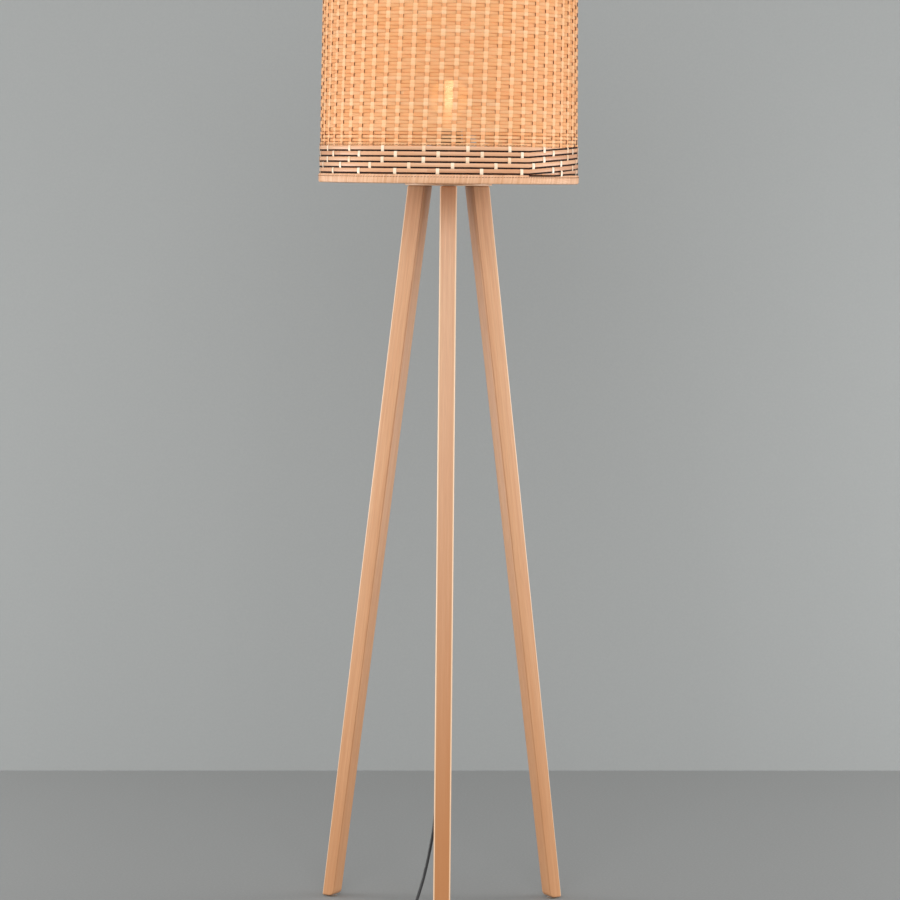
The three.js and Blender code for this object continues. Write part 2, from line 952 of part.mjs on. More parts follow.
// A flat strand laid round the stakes row by row, from the bottom row to the top one.
function wound(width, thickness, firstHeight) {
  const rings = [];
  const sides = bandRows * shadeSides - climbSides;
  for (let side = 0; side <= sides; side += 1) {
    const angle = (2 * Math.PI * (side + climbEndSide)) / shadeSides - Math.PI / 2;
    const bottom = firstHeight + bandPitch * rowsRisen(side);
    const corners = [
      [thickness, bottom],
      [0, bottom],
      [0, bottom + width],
      [thickness, bottom + width],
    ];
    rings.push(corners.map(([depth, height]) => {
      const radius = shadeRadiusAt(height) - depth;
      return new THREE.Vector3(radius * Math.cos(angle), radius * Math.sin(angle), height);
    }));
  }
  return skinned(rings);
}

function bandStrip() {
  const first = bandBottom + strandWidth + bandGap;
  return mesh("band_strip", wound(stripWidth, stripThickness, first), rattanPeel);
}

function blackStrand() {
  return mesh("black_strand", wound(strandWidth, strandThickness, bandBottom), blackCane);
}

function fitterRing() {
  const inner = shellRadius + ringThreadDepth + slideGap;
  const ring = tube(inner, fitterOuterRadius, fitterBottom, fitterBottom + fitterThickness, 30);
  return mesh("fitter_ring", ring, whiteWire);
}

// A wire from the fitter ring that runs level, slopes down and hooks over the binding on to the
// lower hoop.
function armCurve() {
  const start = fitterOuterRadius + seatGap;
  const level = fitterBottom + fitterThickness / 2;
  const hoopTop = hoopHeight(-1) + hoopWireRadius + seatGap;
  const hookTop = hoopTop + armHookRise;
  const hookMiddle = hoopTop + armHookRise / 2;
  const places = [
    [start, level],
    [start + armFlat, level],
    [wireRadiusAt(hookTop) - armHookReach, hookTop],
    [wireRadiusAt(hookMiddle), hookMiddle],
    [wireRadiusAt(hoopTop), hoopTop],
  ];
  return new THREE.CatmullRomCurve3(
    places.map(([radius, height]) => new THREE.Vector3(radius, 0, height)),
    false,
    "centripetal",
  );
}

function fitterArms() {
  const arms = [];
  for (let i = 0; i < armCount; i += 1) {
    const wire = bar(armCurve(), hoopWireRadius, 6, 16);
    wire.rotateZ((2 * Math.PI * i) / armCount - Math.PI / 2);
    arms.push(mesh(`fitter_arm_${i + 1}`, wire, whiteWire));
  }
  return arms;
}

function shade() {
  return group(
    wovenWall(),
    binding("bottom_binding", -1),
    binding("top_binding", 1),
    hoop("bottom_hoop", -1),
    hoop("top_hoop", 1),
    bandStrip(),
    blackStrand(),
    fitterRing(),
    ...fitterArms(),
  );
}

// Foot switch, modelled along X about its own centre and then laid on the floor

function switchCollars(bottom, top) {
  return [-1, 1].map((end) => {
    const start = switchLength / 2 - switchWall;
    const collar = rod(switchCollarRadius, start, start + switchWall + switchCollarLength, 12);
    collar.rotateY((end * Math.PI) / 2).translate(0, 0, switchSplit);
    const half = slab(roundedRectangle(2 * switchLength, switchWidth, switchWall), bottom, top);
    return shapeOf(solid(collar).intersect(solid(half)));
  });
}

function switchBosses(bottom, top) {
  return [-1, 1].map((end) => (
    rod(switchBossRadius, bottom, top, 10).translate(end * (switchLength / 2 - switchScrewInset), 0, 0)
  ));
}

function switchScrewHoles(bottom, top) {
  return [-1, 1].flatMap((end) => {
    const x = end * (switchLength / 2 - switchScrewInset);
    const shank = rod(switchScrewRadius + seatGap, bottom, top, 8).translate(x, 0, 0);
    const head = rod(
      switchScrewHeadRadius + seatGap,
      -cutOverrun,
      switchScrewHeadHeight + 2 * seatGap,
      8,
    ).translate(x, 0, 0);
    return bottom < 0 ? [shank, head] : [shank];
  });
}

function switchOutline(inset) {
  const radius = switchWidth / 2 - inset - seatGap;
  return roundedRectangle(switchLength - 2 * inset, switchWidth - 2 * inset, radius);
}

function switchBase() {
  const top = switchSplit - seatGap / 2;
  const outside = slab(switchOutline(0), 0, top);
  const inside = slab(switchOutline(switchWall), switchWall, top + cutOverrun);
  const tray = cut(outside, [inside]);
  const body = join([tray, ...switchCollars(0, top), ...switchBosses(switchWall / 2, top)]);
  const reach = top + cutOverrun;
  return mesh("switch_base", cut(body, switchScrewHoles(-cutOverrun, reach)), blackPlastic);
}

function switchCover() {
  const bottom = switchSplit + seatGap / 2;
  const outside = slab(switchOutline(0), bottom, switchHeight);
  const inside = slab(switchOutline(switchWall), bottom - cutOverrun, switchHeight - switchWall);
  const lid = cut(outside, [inside]);
  const body = join([
    lid,
    ...switchCollars(bottom, switchHeight),
    ...switchBosses(bottom, switchHeight - switchWall / 2),
  ]);
  const holeTop = switchScrewLength + cutOverrun;
  const opening = rod(buttonRadius + slideGap, bottom, switchHeight + cutOverrun, 24);
  return mesh(
    "switch_cover",
    cut(body, [opening, ...switchScrewHoles(bottom - cutOverrun, holeTop)]),
    blackPlastic,
  );
}

function switchButton() {
  const flangeTop = switchHeight - switchWall - seatGap;
  const flangeBottom = flangeTop - buttonFlangeHeight;
  const bottom = flangeTop - buttonSkirt;
  const top = switchHeight + buttonPressedRise + buttonTravel;
  const body = turned(
    [
      [0, bottom],
      [springRadius - 2 * springWire, bottom],
      [springRadius - 2 * springWire, flangeBottom],
      [buttonRadius + buttonFlange, flangeBottom],
      [buttonRadius + buttonFlange, flangeTop],
      [buttonRadius, flangeTop],
      [buttonRadius, top - buttonFlange],
      [buttonRadius - buttonFlange, top],
      [0, top],
    ],
    24,
  );
  return mesh("switch_button", body, blackPlastic);
}

// A helix of wire rings, square to the path.
function coiledWire(path, wireRadius, sides, steps) {
  const rings = [];
  const up = new THREE.Vector3(0, 0, 1);
  for (let i = 0; i <= steps; i += 1) {
    const share = i / steps;
    const place = path(share);
    const small = 1 / steps / 4;
    const ahead = path(Math.min(1, share + small)).sub(path(Math.max(0, share - small))).normalize();
    const across = new THREE.Vector3().crossVectors(up, ahead).normalize();
    const above = new THREE.Vector3().crossVectors(ahead, across);
    const ring = [];
    for (let k = 0; k < sides; k += 1) {
      const angle = (2 * Math.PI * (k + 0.5)) / sides;
      const point = place.clone();
      point.addScaledVector(across, wireRadius * Math.cos(angle));
      point.addScaledVector(above, wireRadius * Math.sin(angle));
      ring.push(point);
    }
    rings.push(ring);
  }
  return skinned(rings);
}

function switchSpring() {
  const bottom = switchWall + seatGap + switchContactThickness + seatGap + springWire;
  const top = switchHeight - switchWall - seatGap - buttonFlangeHeight - seatGap - springWire;
  const path = (share) => {
    const angle = 2 * Math.PI * springTurns * share;
    const height = bottom + (top - bottom) * share;
    return new THREE.Vector3(springRadius * Math.cos(angle), springRadius * Math.sin(angle), height);
  };
  const wire = coiledWire(path, springWire, 5, springTurns * 8);
  return mesh("switch_spring", wire, zincSteel);
}

function switchContact() {
  const bottom = switchWall + seatGap;
  const outline = roundedRectangle(switchContactLength, switchContactWidth, switchContactThickness);
  const strip = slab(outline, bottom, bottom + switchContactThickness);
  return mesh("switch_contact", strip, brass);
}

function switchScrew(name, end) {
  const headBottom = seatGap;
  const body = turned(
    [
      [0, headBottom],
      [switchScrewHeadRadius, headBottom],
      [switchScrewHeadRadius, headBottom + switchScrewHeadHeight],
      [switchScrewRadius, headBottom + switchScrewHeadHeight],
      [switchScrewRadius, switchScrewLength],
      [0, switchScrewLength],
    ],
    8,
  );
  return mesh(name, body.translate(end * (switchLength / 2 - switchScrewInset), 0, 0), zincSteel);
}

function footSwitch() {
  const assembly = group(
    switchBase(),
    switchCover(),
    switchButton(),
    switchSpring(),
    switchContact(),
    switchScrew("switch_screw_1", -1),
    switchScrew("switch_screw_2", 1),
  );
  assembly.position.set(switchX, switchY, 0);
  assembly.rotation.z = radians(switchHeadingDegrees);
  return assembly;
}

// A point at a distance along the switch's own axis, at the height of its cord.
function switchEnd(end) {
  const reach = switchLength / 2 + switchCollarLength + seatGap;
  const heading = radians(switchHeadingDegrees);
  return new THREE.Vector3(
    switchX + end * reach * Math.cos(heading),
    switchY + end * reach * Math.sin(heading),
    switchSplit,
  );
}

// Cord

// Points that the hanging cord passes, chosen by hand. The first hangs from the grip and the
// last lie in line with the switch.
const dropRoute = [
  [0, 0, 1094],
  [0, 0, 1046],
  [0, -1, 900],
  [0, -4, 740],
  [-1, -8, 580],
  [-2, -12, 430],
  [-4, -16, 310],
  [-7.5, -19, 215],
  [-12.4, -23, 149],
  [-17.2, -27, 116],
  [-22.9, -31.5, 87],
  [-29.5, -38.5, 59],
  [-36.5, -46.5, 36],
  [-42, -56, 20.5],
  [-47.5, -67.5, 12],
  [-53, -78.5, 9.4],
];

const leadRoute = [
  [-143, -172.5, 7.8],
  [-149.5, -179, 4.9],
];

const tailRoute = [
  [-203.5, -123, 8.9],
  [-195.5, -114, 7.9],
];

function smooth(points) {
  return new THREE.CatmullRomCurve3(points, false, "centripetal");
}

function routePoints(route) {
  return route.map(([x, y, z]) => new THREE.Vector3(x, y, z));
}

function stepFrom(point, degrees, distance) {
  const angle = radians(degrees);
  return point.clone().add(
    new THREE.Vector3(distance * Math.cos(angle), distance * Math.sin(angle), 0),
  );
}

function cordDrop() {
  const start = new THREE.Vector3(0, 0, gripBottom - seatGap);
  const end = switchEnd(-1);
  const before = stepFrom(end, switchHeadingDegrees, -2 * cordRadius);
  const curve = smooth([start, ...routePoints(dropRoute), before, end]);
  return mesh("cord_drop", bar(curve, cordRadius, 8, 70), flexPvc);
}

// The turns that the coil makes before it reverses, halfway through its climb.
function coilReversal() {
  return coilTurnsPerLayer + 0.25;
}

function coilLoops() {
  return 2 * coilReversal();
}

// The middle line of the coil, clockwise from above: inwards along the floor, a climb at the
// inmost half turn, and outwards again on top.
function coilPoint(share) {
  const turn = share * coilLoops();
  const outerRadius = coilMeanRadius + (coilPitch * coilReversal()) / 2;
  const inwards = Math.min(turn, coilLoops() - turn);
  const radius = outerRadius - coilPitch * inwards;
  const climb = THREE.MathUtils.smoothstep(turn, coilTurnsPerLayer, coilTurnsPerLayer + 0.5);
  const angle = radians(coilEntryDegrees) - 2 * Math.PI * turn;
  return new THREE.Vector3(
    coilX + radius * Math.cos(angle),
    coilY + radius * Math.sin(angle),
    coilLowHeight + (coilHighHeight - coilLowHeight) * climb,
  );
}

// The coil's middle line with one straight cord diameter at each end.
function coilLine() {
  const steps = Math.round(24 * coilLoops());
  const points = [];
  for (let i = 0; i <= steps; i += 1) {
    points.push(coilPoint(i / steps));
  }
  const straight = 2 * cordRadius;
  const entry = stepFrom(points[0], coilEntryDegrees - 90, -straight);
  const exitDegrees = coilEntryDegrees - 360 * coilLoops() - 90;
  const exit = stepFrom(points[steps], exitDegrees, straight);
  return [entry, ...points, exit];
}

// The least distance between two turns' middle lines, less the cord's own diameter.
function leastGap(points, diameter) {
  const apart = 8;
  let least = Infinity;
  for (let i = 0; i < points.length; i += 1) {
    for (let k = i + apart; k < points.length; k += 1) {
      least = Math.min(least, points[i].distanceTo(points[k]) - diameter);
    }
  }
  return least;
}

function lineLength(points) {
  return points.slice(1).reduce((sum, point, i) => sum + point.distanceTo(points[i]), 0);
}

function ringsAlong(points, radius, sides) {
  const up = new THREE.Vector3(0, 0, 1);
  return points.map((place, i) => {
    const before = points[Math.max(0, i - 1)];
    const after = points[Math.min(points.length - 1, i + 1)];
    const ahead = after.clone().sub(before).normalize();
    const across = new THREE.Vector3().crossVectors(up, ahead).normalize();
    const above = new THREE.Vector3().crossVectors(ahead, across);
    return Array.from({ length: sides }, (_, k) => {
      const angle = (2 * Math.PI * (k + 0.5)) / sides;
      const point = place.clone();
      point.addScaledVector(across, radius * Math.cos(angle));
      return point.addScaledVector(above, radius * Math.sin(angle));
    });
  });
}

function cordCoil() {
  const line = coilLine();
  console.log(`coil: least gap between turns ${leastGap(line, 2 * cordRadius).toFixed(2)} mm`);
  console.log(`coil: length ${lineLength(line).toFixed(0)} mm`);
  return mesh("cord_coil", skinned(ringsAlong(line, cordRadius, 6)), flexPvc);
}

function cordLead() {
  const start = switchEnd(1);
  const after = stepFrom(start, switchHeadingDegrees, 2 * cordRadius);
  const line = coilLine();
  const end = stepFrom(line[0], coilEntryDegrees - 90, -seatGap);
  const before = stepFrom(end, coilEntryDegrees - 90, -2 * cordRadius);
  const curve = smooth([start, after, ...routePoints(leadRoute), before, end]);
  return mesh("cord_lead", bar(curve, cordRadius, 8, 8), flexPvc);
}

function cordTail() {
  const line = coilLine();
  const exitDegrees = coilEntryDegrees - 360 * coilLoops() - 90;
  const start = stepFrom(line[line.length - 1], exitDegrees, seatGap);
  const after = stepFrom(start, exitDegrees, 2 * cordRadius);
  const end = stepFrom(plugTail(), plugHeadingDegrees, -seatGap);
  const before = stepFrom(end, plugHeadingDegrees, -2 * cordRadius);
  const curve = smooth([start, after, ...routePoints(tailRoute), before, end]);
  return mesh("cord_tail", bar(curve, cordRadius, 8, 8), flexPvc);
}

// A flat band round the section of the coil.
function coilTie() {
  const half = (coilPitch * coilReversal()) / 2 + cordRadius + seatGap;
  const [low, high] = [coilLowHeight - cordRadius - seatGap, coilHighHeight + cordRadius + seatGap];
  const middle = (low + high) / 2;
  const outside = slab(
    roundedRectangle(2 * (half + tieThickness), high - low + 2 * tieThickness, cordRadius),
    -tieWidth / 2,
    tieWidth / 2,
  );
  const inside = slab(
    roundedRectangle(2 * half, high - low, cordRadius - tieThickness),
    -tieWidth / 2 - cutOverrun,
    tieWidth / 2 + cutOverrun,
  );
  const band = cut(outside, [inside]);
  band.rotateX(Math.PI / 2).translate(coilMeanRadius, 0, middle);
  band.rotateZ(radians(tieDegrees)).translate(coilX, coilY, 0);
  return mesh("coil_tie", band, blackPlastic);
}

function cord() {
  return group(cordDrop(), cordLead(), cordCoil(), cordTail(), coilTie());
}

// Plug, modelled along X from the end of its tail and then laid on the floor

function plugTail() {
  return new THREE.Vector3(plugX, plugY, plugCordHeight);
}

function plugBody() {
  const outline = roundedRectangle(plugLength, plugWidth, plugCornerRadius);
  const slice = slab(outline, -plugHeight / 2, plugHeight / 2);
  slice.translate(plugTailLength + plugLength / 2, 0, 0);
  const tail = turned(
    [
      [0, 0],
      [plugTailRadius, 0],
      [plugHeight / 2 - seatGap, plugTailLength + cutOverrun],
      [0, plugTailLength + cutOverrun],
    ],
    12,
  );
  return mesh("plug_body", join([slice, tail.rotateY(Math.PI / 2)]), flexPvc);
}

function plugPin(name, side) {
  const start = plugTailLength + plugLength + seatGap;
  const tip = start + pinLength;
  const body = turned(
    [
      [0, start],
      [pinRadius, start],
      [pinRadius, tip - pinRadius],
      [pinRadius / 2, tip],
      [0, tip],
    ],
    8,
  );
  body.rotateY(Math.PI / 2).translate(0, (side * pinSpacing) / 2, 0);
  return mesh(name, body, brass);
}

function plug() {
  const assembly = group(plugBody(), plugPin("plug_pin_1", -1), plugPin("plug_pin_2", 1));
  assembly.position.copy(plugTail());
  assembly.rotation.z = radians(plugHeadingDegrees);
  return assembly;
}

const lamp = group(stand(), lampHolder(), bulb(), shade(), footSwitch(), cord(), plug());

export default lamp;
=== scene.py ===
"""Rattan floor lamp on three tapered timber legs: the looks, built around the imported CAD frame."""

import logging
import math
from dataclasses import dataclass
from enum import Enum

import bmesh
import bpy
import numpy as np
from mathutils import Matrix, Vector


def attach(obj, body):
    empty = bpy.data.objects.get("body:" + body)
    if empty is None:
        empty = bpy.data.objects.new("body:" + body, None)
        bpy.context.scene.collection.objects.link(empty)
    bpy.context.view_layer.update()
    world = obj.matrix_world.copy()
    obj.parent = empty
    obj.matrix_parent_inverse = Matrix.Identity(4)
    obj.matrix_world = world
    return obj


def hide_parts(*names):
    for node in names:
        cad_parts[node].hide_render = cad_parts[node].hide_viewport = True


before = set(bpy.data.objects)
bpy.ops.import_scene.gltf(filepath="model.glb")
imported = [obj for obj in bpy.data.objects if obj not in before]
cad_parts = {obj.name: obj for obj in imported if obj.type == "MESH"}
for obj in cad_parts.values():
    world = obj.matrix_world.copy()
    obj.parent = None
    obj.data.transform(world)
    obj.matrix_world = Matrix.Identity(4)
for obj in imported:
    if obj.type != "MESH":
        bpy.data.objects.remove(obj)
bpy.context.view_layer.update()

MM = 0.001
TURN = 2 * math.pi
LOG = logging.getLogger("lamp")

Outline = list[tuple[float, float]]
Line = list[Vector]
Place = tuple[float, float, float]
Piece = bpy.types.Object
Material = bpy.types.Material
NodeTree = bpy.types.NodeTree


class Body(Enum):
    """The rigid bodies of the lamp."""

    STAND = "stand"
    SHADE = "shade"
    RING_NUT = "ring_nut"
    BULB = "bulb"
    BUTTON = "button"


class Slot(Enum):
    """The names of the material slots that each piece is settled with."""

    TIMBER = "timber"
    BLACK_PLASTIC = "black_plastic"
    OPAL_GLASS = "opal_glass"
    STEM_GLASS = "stem_glass"
    WHITE_WIRE = "white_wire"
    RATTAN = "rattan"
    RATTAN_PEEL = "rattan_peel"
    BLACK_CANE = "black_cane"
    FLEX_PVC = "flex_pvc"


# Nodes and colours


def linear(colour: str) -> tuple[float, float, float, float]:
    """Turns an sRGB hex colour into linear light.

    Args:
        colour: a # and six hex digits.

    Returns:
        Red, green, blue and an alpha of 1.
    """
    parts = [int(colour[i : i + 2], 16) / 255 for i in (1, 3, 5)]
    bent = [p / 12.92 if p <= 0.04045 else ((p + 0.055) / 1.055) ** 2.4 for p in parts]
    return (*bent, 1.0)


def fill(node: bpy.types.Node, key: int | str, value: object) -> None:
    """Sets one input of a node, or links what gives it.

    Args:
        node: the node.
        key: the input's number or name.
        value: a plain value, what another node gives, or None to leave the input.
    """
    if isinstance(value, Given):
        node.id_data.links.new(value.socket, node.inputs[key])
    elif value is not None:
        node.inputs[key].default_value = value


def add(tree: NodeTree, kind: str, *inputs: object, **settings: object) -> "Given":
    """Adds one node with its settings and its links.

    Args:
        tree: the tree that the node goes in.
        kind: the node's type.
        inputs: what each socket in turn is filled with.
        settings: the node's own properties, with more inputs by name under "sockets", and a ramp's places and
            colours under "stops".

    Returns:
        What the node gives at its first output.
    """
    node = tree.nodes.new(kind)
    named, stops = settings.pop("sockets", {}), settings.pop("stops", ())
    for key, value in settings.items():
        setattr(node, key, value)
    for i, (place, colour) in enumerate(stops):
        stop = node.color_ramp.elements[i] if i < 2 else node.color_ramp.elements.new(place)
        stop.position, stop.color = place, linear(colour)
    for key, value in [*enumerate(inputs), *named.items()]:
        fill(node, key, value)
    return Given(node.outputs[0])


class Given:
    """What a node gives, with the signs of arithmetic where that is a number."""

    def __init__(self, socket: bpy.types.NodeSocket) -> None:
        """Keeps the socket that it comes from."""
        self.socket, self.tree = socket, socket.id_data

    def __getitem__(self, key: int | str) -> "Given":
        """What the same node gives at another output."""
        return Given(self.socket.node.outputs[key])

    def to(self, operation: str, *others: object) -> "Given":
        """The result of an arithmetic operation on this number and others."""
        return add(self.tree, "ShaderNodeMath", self, *others, operation=operation)

    def __add__(self, other: object) -> "Given":
        """The sum."""
        return self.to("ADD", other)

    def __sub__(self, other: object) -> "Given":
        """The difference."""
        return self.to("SUBTRACT", other)

    def __mul__(self, other: object) -> "Given":
        """The product."""
        return self.to("MULTIPLY", other)

    def __truediv__(self, other: object) -> "Given":
        """The quotient."""
        return self.to("DIVIDE", other)

    def __rtruediv__(self, other: float) -> "Given":
        """A plain number divided by this one."""
        return add(self.tree, "ShaderNodeMath", other, self, operation="DIVIDE")

    def eased(
        self, start: object, end: object, low: object = 0.0, high: object = 1.0, curve: str = "SMOOTHSTEP"
    ) -> "Given":
        """Goes from low to high while this number goes from start to end, smoothly unless the curve is another."""
        return add(self.tree, "ShaderNodeMapRange", self, start, end, low, high, interpolation_type=curve)

    def under(self, share: object, colour: str) -> "Given":
        """This colour with another laid over it, as strongly as the share says."""
        return add(self.tree, "ShaderNodeMix", share, data_type="RGBA", sockets={6: self, 7: linear(colour)})[2]

    def mottled(self, scale: float, dark: str, light: str) -> "Given":
        """Colours between dark and light by soft noise on this place, with so many features for each unit."""
        noise = add(self.tree, "ShaderNodeTexNoise", self, sockets={"Scale": scale, "Detail": 4.0, "Roughness": 0.6})
        return add(self.tree, "ShaderNodeValToRGB", noise, stops=[(0.3, dark), (0.7, light)])

    def raised(self, depth: float) -> "Given":
        """The direction of a surface raised by this height from 0 to 1, times a depth in millimetres."""
        sockets = {"Strength": 1.0, "Distance": depth * MM, "Height": self}
        return add(self.tree, "ShaderNodeBump", sockets=sockets)


# Shapes in millimetres


def polar(radius: float, angle: float) -> tuple[float, float]:
    """The two sides of a radius at an angle."""
    return radius * math.cos(angle), radius * math.sin(angle)


def heading(degrees: float) -> Vector:
    """The direction at an angle on the floor."""
    return Vector((*polar(1, math.radians(degrees)), 0))


def lying(place: Place, degrees: float) -> Matrix:
    """Moves a shape made about the origin to its place, turned to its heading."""
    return Matrix.Translation(place) @ Matrix.Rotation(math.radians(degrees), 4, "Z")


def bend(start: Vector, corner: Vector, end: Vector, steps: int) -> Outline:
    """A round from start to end, drawn towards a corner, as a run of points."""
    shares = [k / steps for k in range(steps + 1)]
    return [tuple(start * (1 - t) ** 2 + corner * 2 * t * (1 - t) + end * t**2) for t in shares]


def softened(corners: Outline, radius: float, steps: int = 4, loop: bool = True) -> Outline:
    """Rounds the corners of an outline.

    Args:
        corners: the outline's corners in order.
        radius: how far from each corner its rounding starts, less where a side is short.
        steps: how many pieces each rounding has.
        loop: whether the outline closes on itself. An open one keeps its two ends.

    Returns:
        The outline with each corner as a run of points.
    """
    rounded = []
    for i, corner in enumerate(corners):
        if not loop and i in (0, len(corners) - 1):
            rounded.append(corner)
            continue
        here = Vector(corner)
        before, after = (Vector(corners[k % len(corners)]) - here for k in (i - 1, i + 1))
        reach = min(radius, 0.45 * before.length, 0.45 * after.length)
        rounded += bend(here + before.normalized() * reach, here, here + after.normalized() * reach, steps)
    return rounded


def box_outline(length: float, width: float, radius: float, steps: int = 8) -> Outline:
    """The outline of a rectangle with round corners, about its own middle.

    Args:
        length: its first side.
        width: its second side.
        radius: the radius of its corners.
        steps: how many pieces each corner has.

    Returns:
        Its points in order.
    """
    outline = []
    for quarter, (x, y) in enumerate([(1, 1), (-1, 1), (-1, -1), (1, -1)]):
        for k in range(steps + 1):
            across, along = polar(radius, math.pi / 2 * (quarter + k / steps))
            outline.append((x * (length / 2 - radius) + across, y * (width / 2 - radius) + along))
    return outline


def smooth_line(points: list[Place], step: float) -> Line:
    """One centripetal Catmull-Rom curve through points.

    Args:
        points: what the curve passes, in order.
        step: about how far apart the returned points are.

    Returns:
        Points along the curve, both ends included.
    """
    knots = [Vector(p) for p in points]
    knots = [knots[0] * 2 - knots[1], *knots, knots[-1] * 2 - knots[-2]]
    line = []
    for i in range(1, len(knots) - 2):
        p0, p1, p2, p3 = knots[i - 1 : i + 3]
        d0, d1, d2 = [max(1e-6, (b - a).length) ** 0.5 for a, b in ((p0, p1), (p1, p2), (p2, p3))]
        m1 = ((p1 - p0) / d0 - (p2 - p0) / (d0 + d1) + (p2 - p1) / d1) * d1
        m2 = ((p2 - p1) / d1 - (p3 - p1) / (d1 + d2) + (p3 - p2) / d2) * d1
        count = max(1, round((p2 - p1).length / step))
        for t in (k / count for k in range(count)):
            ahead = p1 * (2 * t**3 - 3 * t**2 + 1) + m1 * (t**3 - 2 * t**2 + t)
            line.append(ahead + p2 * (-2 * t**3 + 3 * t**2) + m2 * (t**3 - t**2))
    return [*line, knots[-2]]


def length_of(line: Line) -> float:
    """The length of a line through points."""
    return sum((b - a).length for a, b in zip(line, line[1:]))


def shown(name: str, data: bpy.types.ID) -> Piece:
    """Puts a new object in the scene, at the origin.

    Args:
        name: its name.
        data: its mesh, camera or light.

    Returns:
        The object.
    """
    made = bpy.data.objects.new(name, data)
    bpy.context.scene.collection.objects.link(made)
    return made


def shade(mesh: bpy.types.Mesh, degrees: float = 38) -> None:
    """Shades a mesh smooth, but for its edges sharper than an angle."""
    mesh.shade_smooth()
    mesh.set_sharp_from_angle(angle=math.radians(degrees))


def keep(piece: Piece, name: str, values: list[Place]) -> None:
    """Keeps three numbers for each point of a piece under a name, for its material."""
    kept = piece.data.attributes.new(name, "FLOAT_VECTOR", "POINT")
    kept.data.foreach_set("vector", np.array(values, np.float32).ravel())


class Form:
    """Points in millimetres and the faces between them, before they become one mesh."""

    def __init__(
        self,
        rings: list[Line] | tuple = (),
        caps: bool = True,
        again: bool = False,
        loop: bool = True,
        along: list[float] | None = None,
    ) -> None:
        """Joins rings of points into a skin.

        Args:
            rings: rings with as many points each. A ring whose points are all in one place is a pole.
            caps: whether the first and last ring are closed with a face.
            again: whether the last ring joins the first.
            loop: whether each ring closes on itself.
            along: the distance along the piece of each ring, kept for patterns.
        """
        count = len(rings[0]) if rings else 0
        self.points = [Vector(p) for ring in rings for p in ring]
        self.along = [gone for gone in along or [0.0] * len(rings) for _ in range(count)]
        self.faces = []
        for i in range(len(rings) if again else len(rings) - 1):
            low, high = i * count, (i + 1) % len(rings) * count
            for k in range(count if loop else count - 1):
                n = (k + 1) % count
                self.faces.append((low + k, low + n, high + n, high + k))
        if rings and caps:
            self.faces.append(tuple(range(count))[::-1])
            self.faces.append(tuple(range(len(self.points) - count, len(self.points))))

    @classmethod
    def turned(cls, profile: Outline, sides: int = 96, loop: bool = True) -> "Form":
        """Turns a profile about the vertical axis.

        Args:
            profile: radius and height of its points. An open one starts and ends on the axis.
            sides: how many sides a full turn has.
            loop: whether the profile closes on itself.

        Returns:
            The form.
        """
        angles = [TURN * i / sides for i in range(sides)]
        rings = [[(*polar(r, angle), z) for r, z in profile] for angle in angles]
        return cls(rings, caps=False, again=True, loop=loop)

    @classmethod
    def tube(cls, line: Line, radius: float, tip: float | None = None, sides: int = 12) -> "Form":
        """Lays a round tube along a line, tapered where a tip is given.

        Args:
            line: the middle of the tube.
            radius: its radius at the start.
            tip: its radius at the end.
            sides: how many sides it has.

        Returns:
            The form.
        """
        tip = radius if tip is None else tip
        side = Vector((0, 0, 1)).cross(line[1] - line[0])
        side = side.normalized() if side.length > 1e-6 else Vector((1, 0, 0))
        total, gone = length_of(line), 0.0
        rings, along = [], []
        for i, place in enumerate(line):
            gone += (place - line[i - 1]).length if i else 0.0
            ahead = (line[min(i + 1, len(line) - 1)] - line[max(i - 1, 0)]).normalized()
            side = (side - ahead * side.dot(ahead)).normalized()
            above = ahead.cross(side)
            wide = radius + (tip - radius) * gone / total
            turn = [polar(wide, TURN * k / sides) for k in range(sides)]
            rings.append([place + side * x + above * y for x, y in turn])
            along.append(gone)
        return cls(rings, along=along)

    def moved(self, matrix: Matrix) -> "Form":
        """Moves every point by a matrix in millimetres."""
        self.points = [matrix @ p for p in self.points]
        return self

    def object(self, name: str, material: Material | None = None) -> Piece:
        """Makes one object with the form as its mesh.

        Args:
            name: the object's name.
            material: its only material.

        Returns:
            The object, at the origin.
        """
        mesh = bpy.data.meshes.new(name)
        mesh.from_pydata([p * MM for p in self.points], [], self.faces)
        mesh.attributes.new("along", "FLOAT", "POINT").data.foreach_set("value", np.array(self.along, np.float32))
        shaped = bmesh.new()
        shaped.from_mesh(mesh)
        bmesh.ops.remove_doubles(shaped, verts=shaped.verts, dist=1e-6)
        bmesh.ops.dissolve_degenerate(shaped, edges=shaped.edges, dist=1e-7)
        bmesh.ops.recalc_face_normals(shaped, faces=shaped.faces)
        shaped.to_mesh(mesh)
        shaped.free()
        if material:
            mesh.materials.append(material)
        shade(mesh)
        return shown(name, mesh)


def settle(piece: Piece, body: Body, slot: Slot, *nodes: str) -> Piece:
    """Gives a finished piece its body, and hides the CAD nodes that it stands for.

    Args:
        piece: the piece.
        body: the body that it rides on.
        slot: not used.
        nodes: the CAD nodes, if any.

    Returns:
        The same piece.
    """
    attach(piece, body.value)
    if nodes:
        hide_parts(*nodes)
    LOG.info("%s: %d faces on %s", piece.name, len(piece.data.polygons), body.value)
    return piece


def dress(material: Material, *nodes: str) -> None:
    """Gives carried-over CAD nodes their material."""
    for place in (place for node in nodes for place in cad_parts[node].material_slots):
        place.material = material


def baked(source: Piece, name: str) -> Piece:
    """Turns an object with live modifiers into a new one with a plain mesh.

    Args:
        source: the object, which is removed.
        name: the new object's name.

    Returns:
        The new object.
    """
    graph = bpy.context.evaluated_depsgraph_get()
    mesh = bpy.data.meshes.new_from_object(source.evaluated_get(graph), depsgraph=graph)
    bpy.data.objects.remove(source)
    mesh.name = name
    shade(mesh)
    return shown(name, mesh)


# Geometry node trees for what is wound, woven or repeated


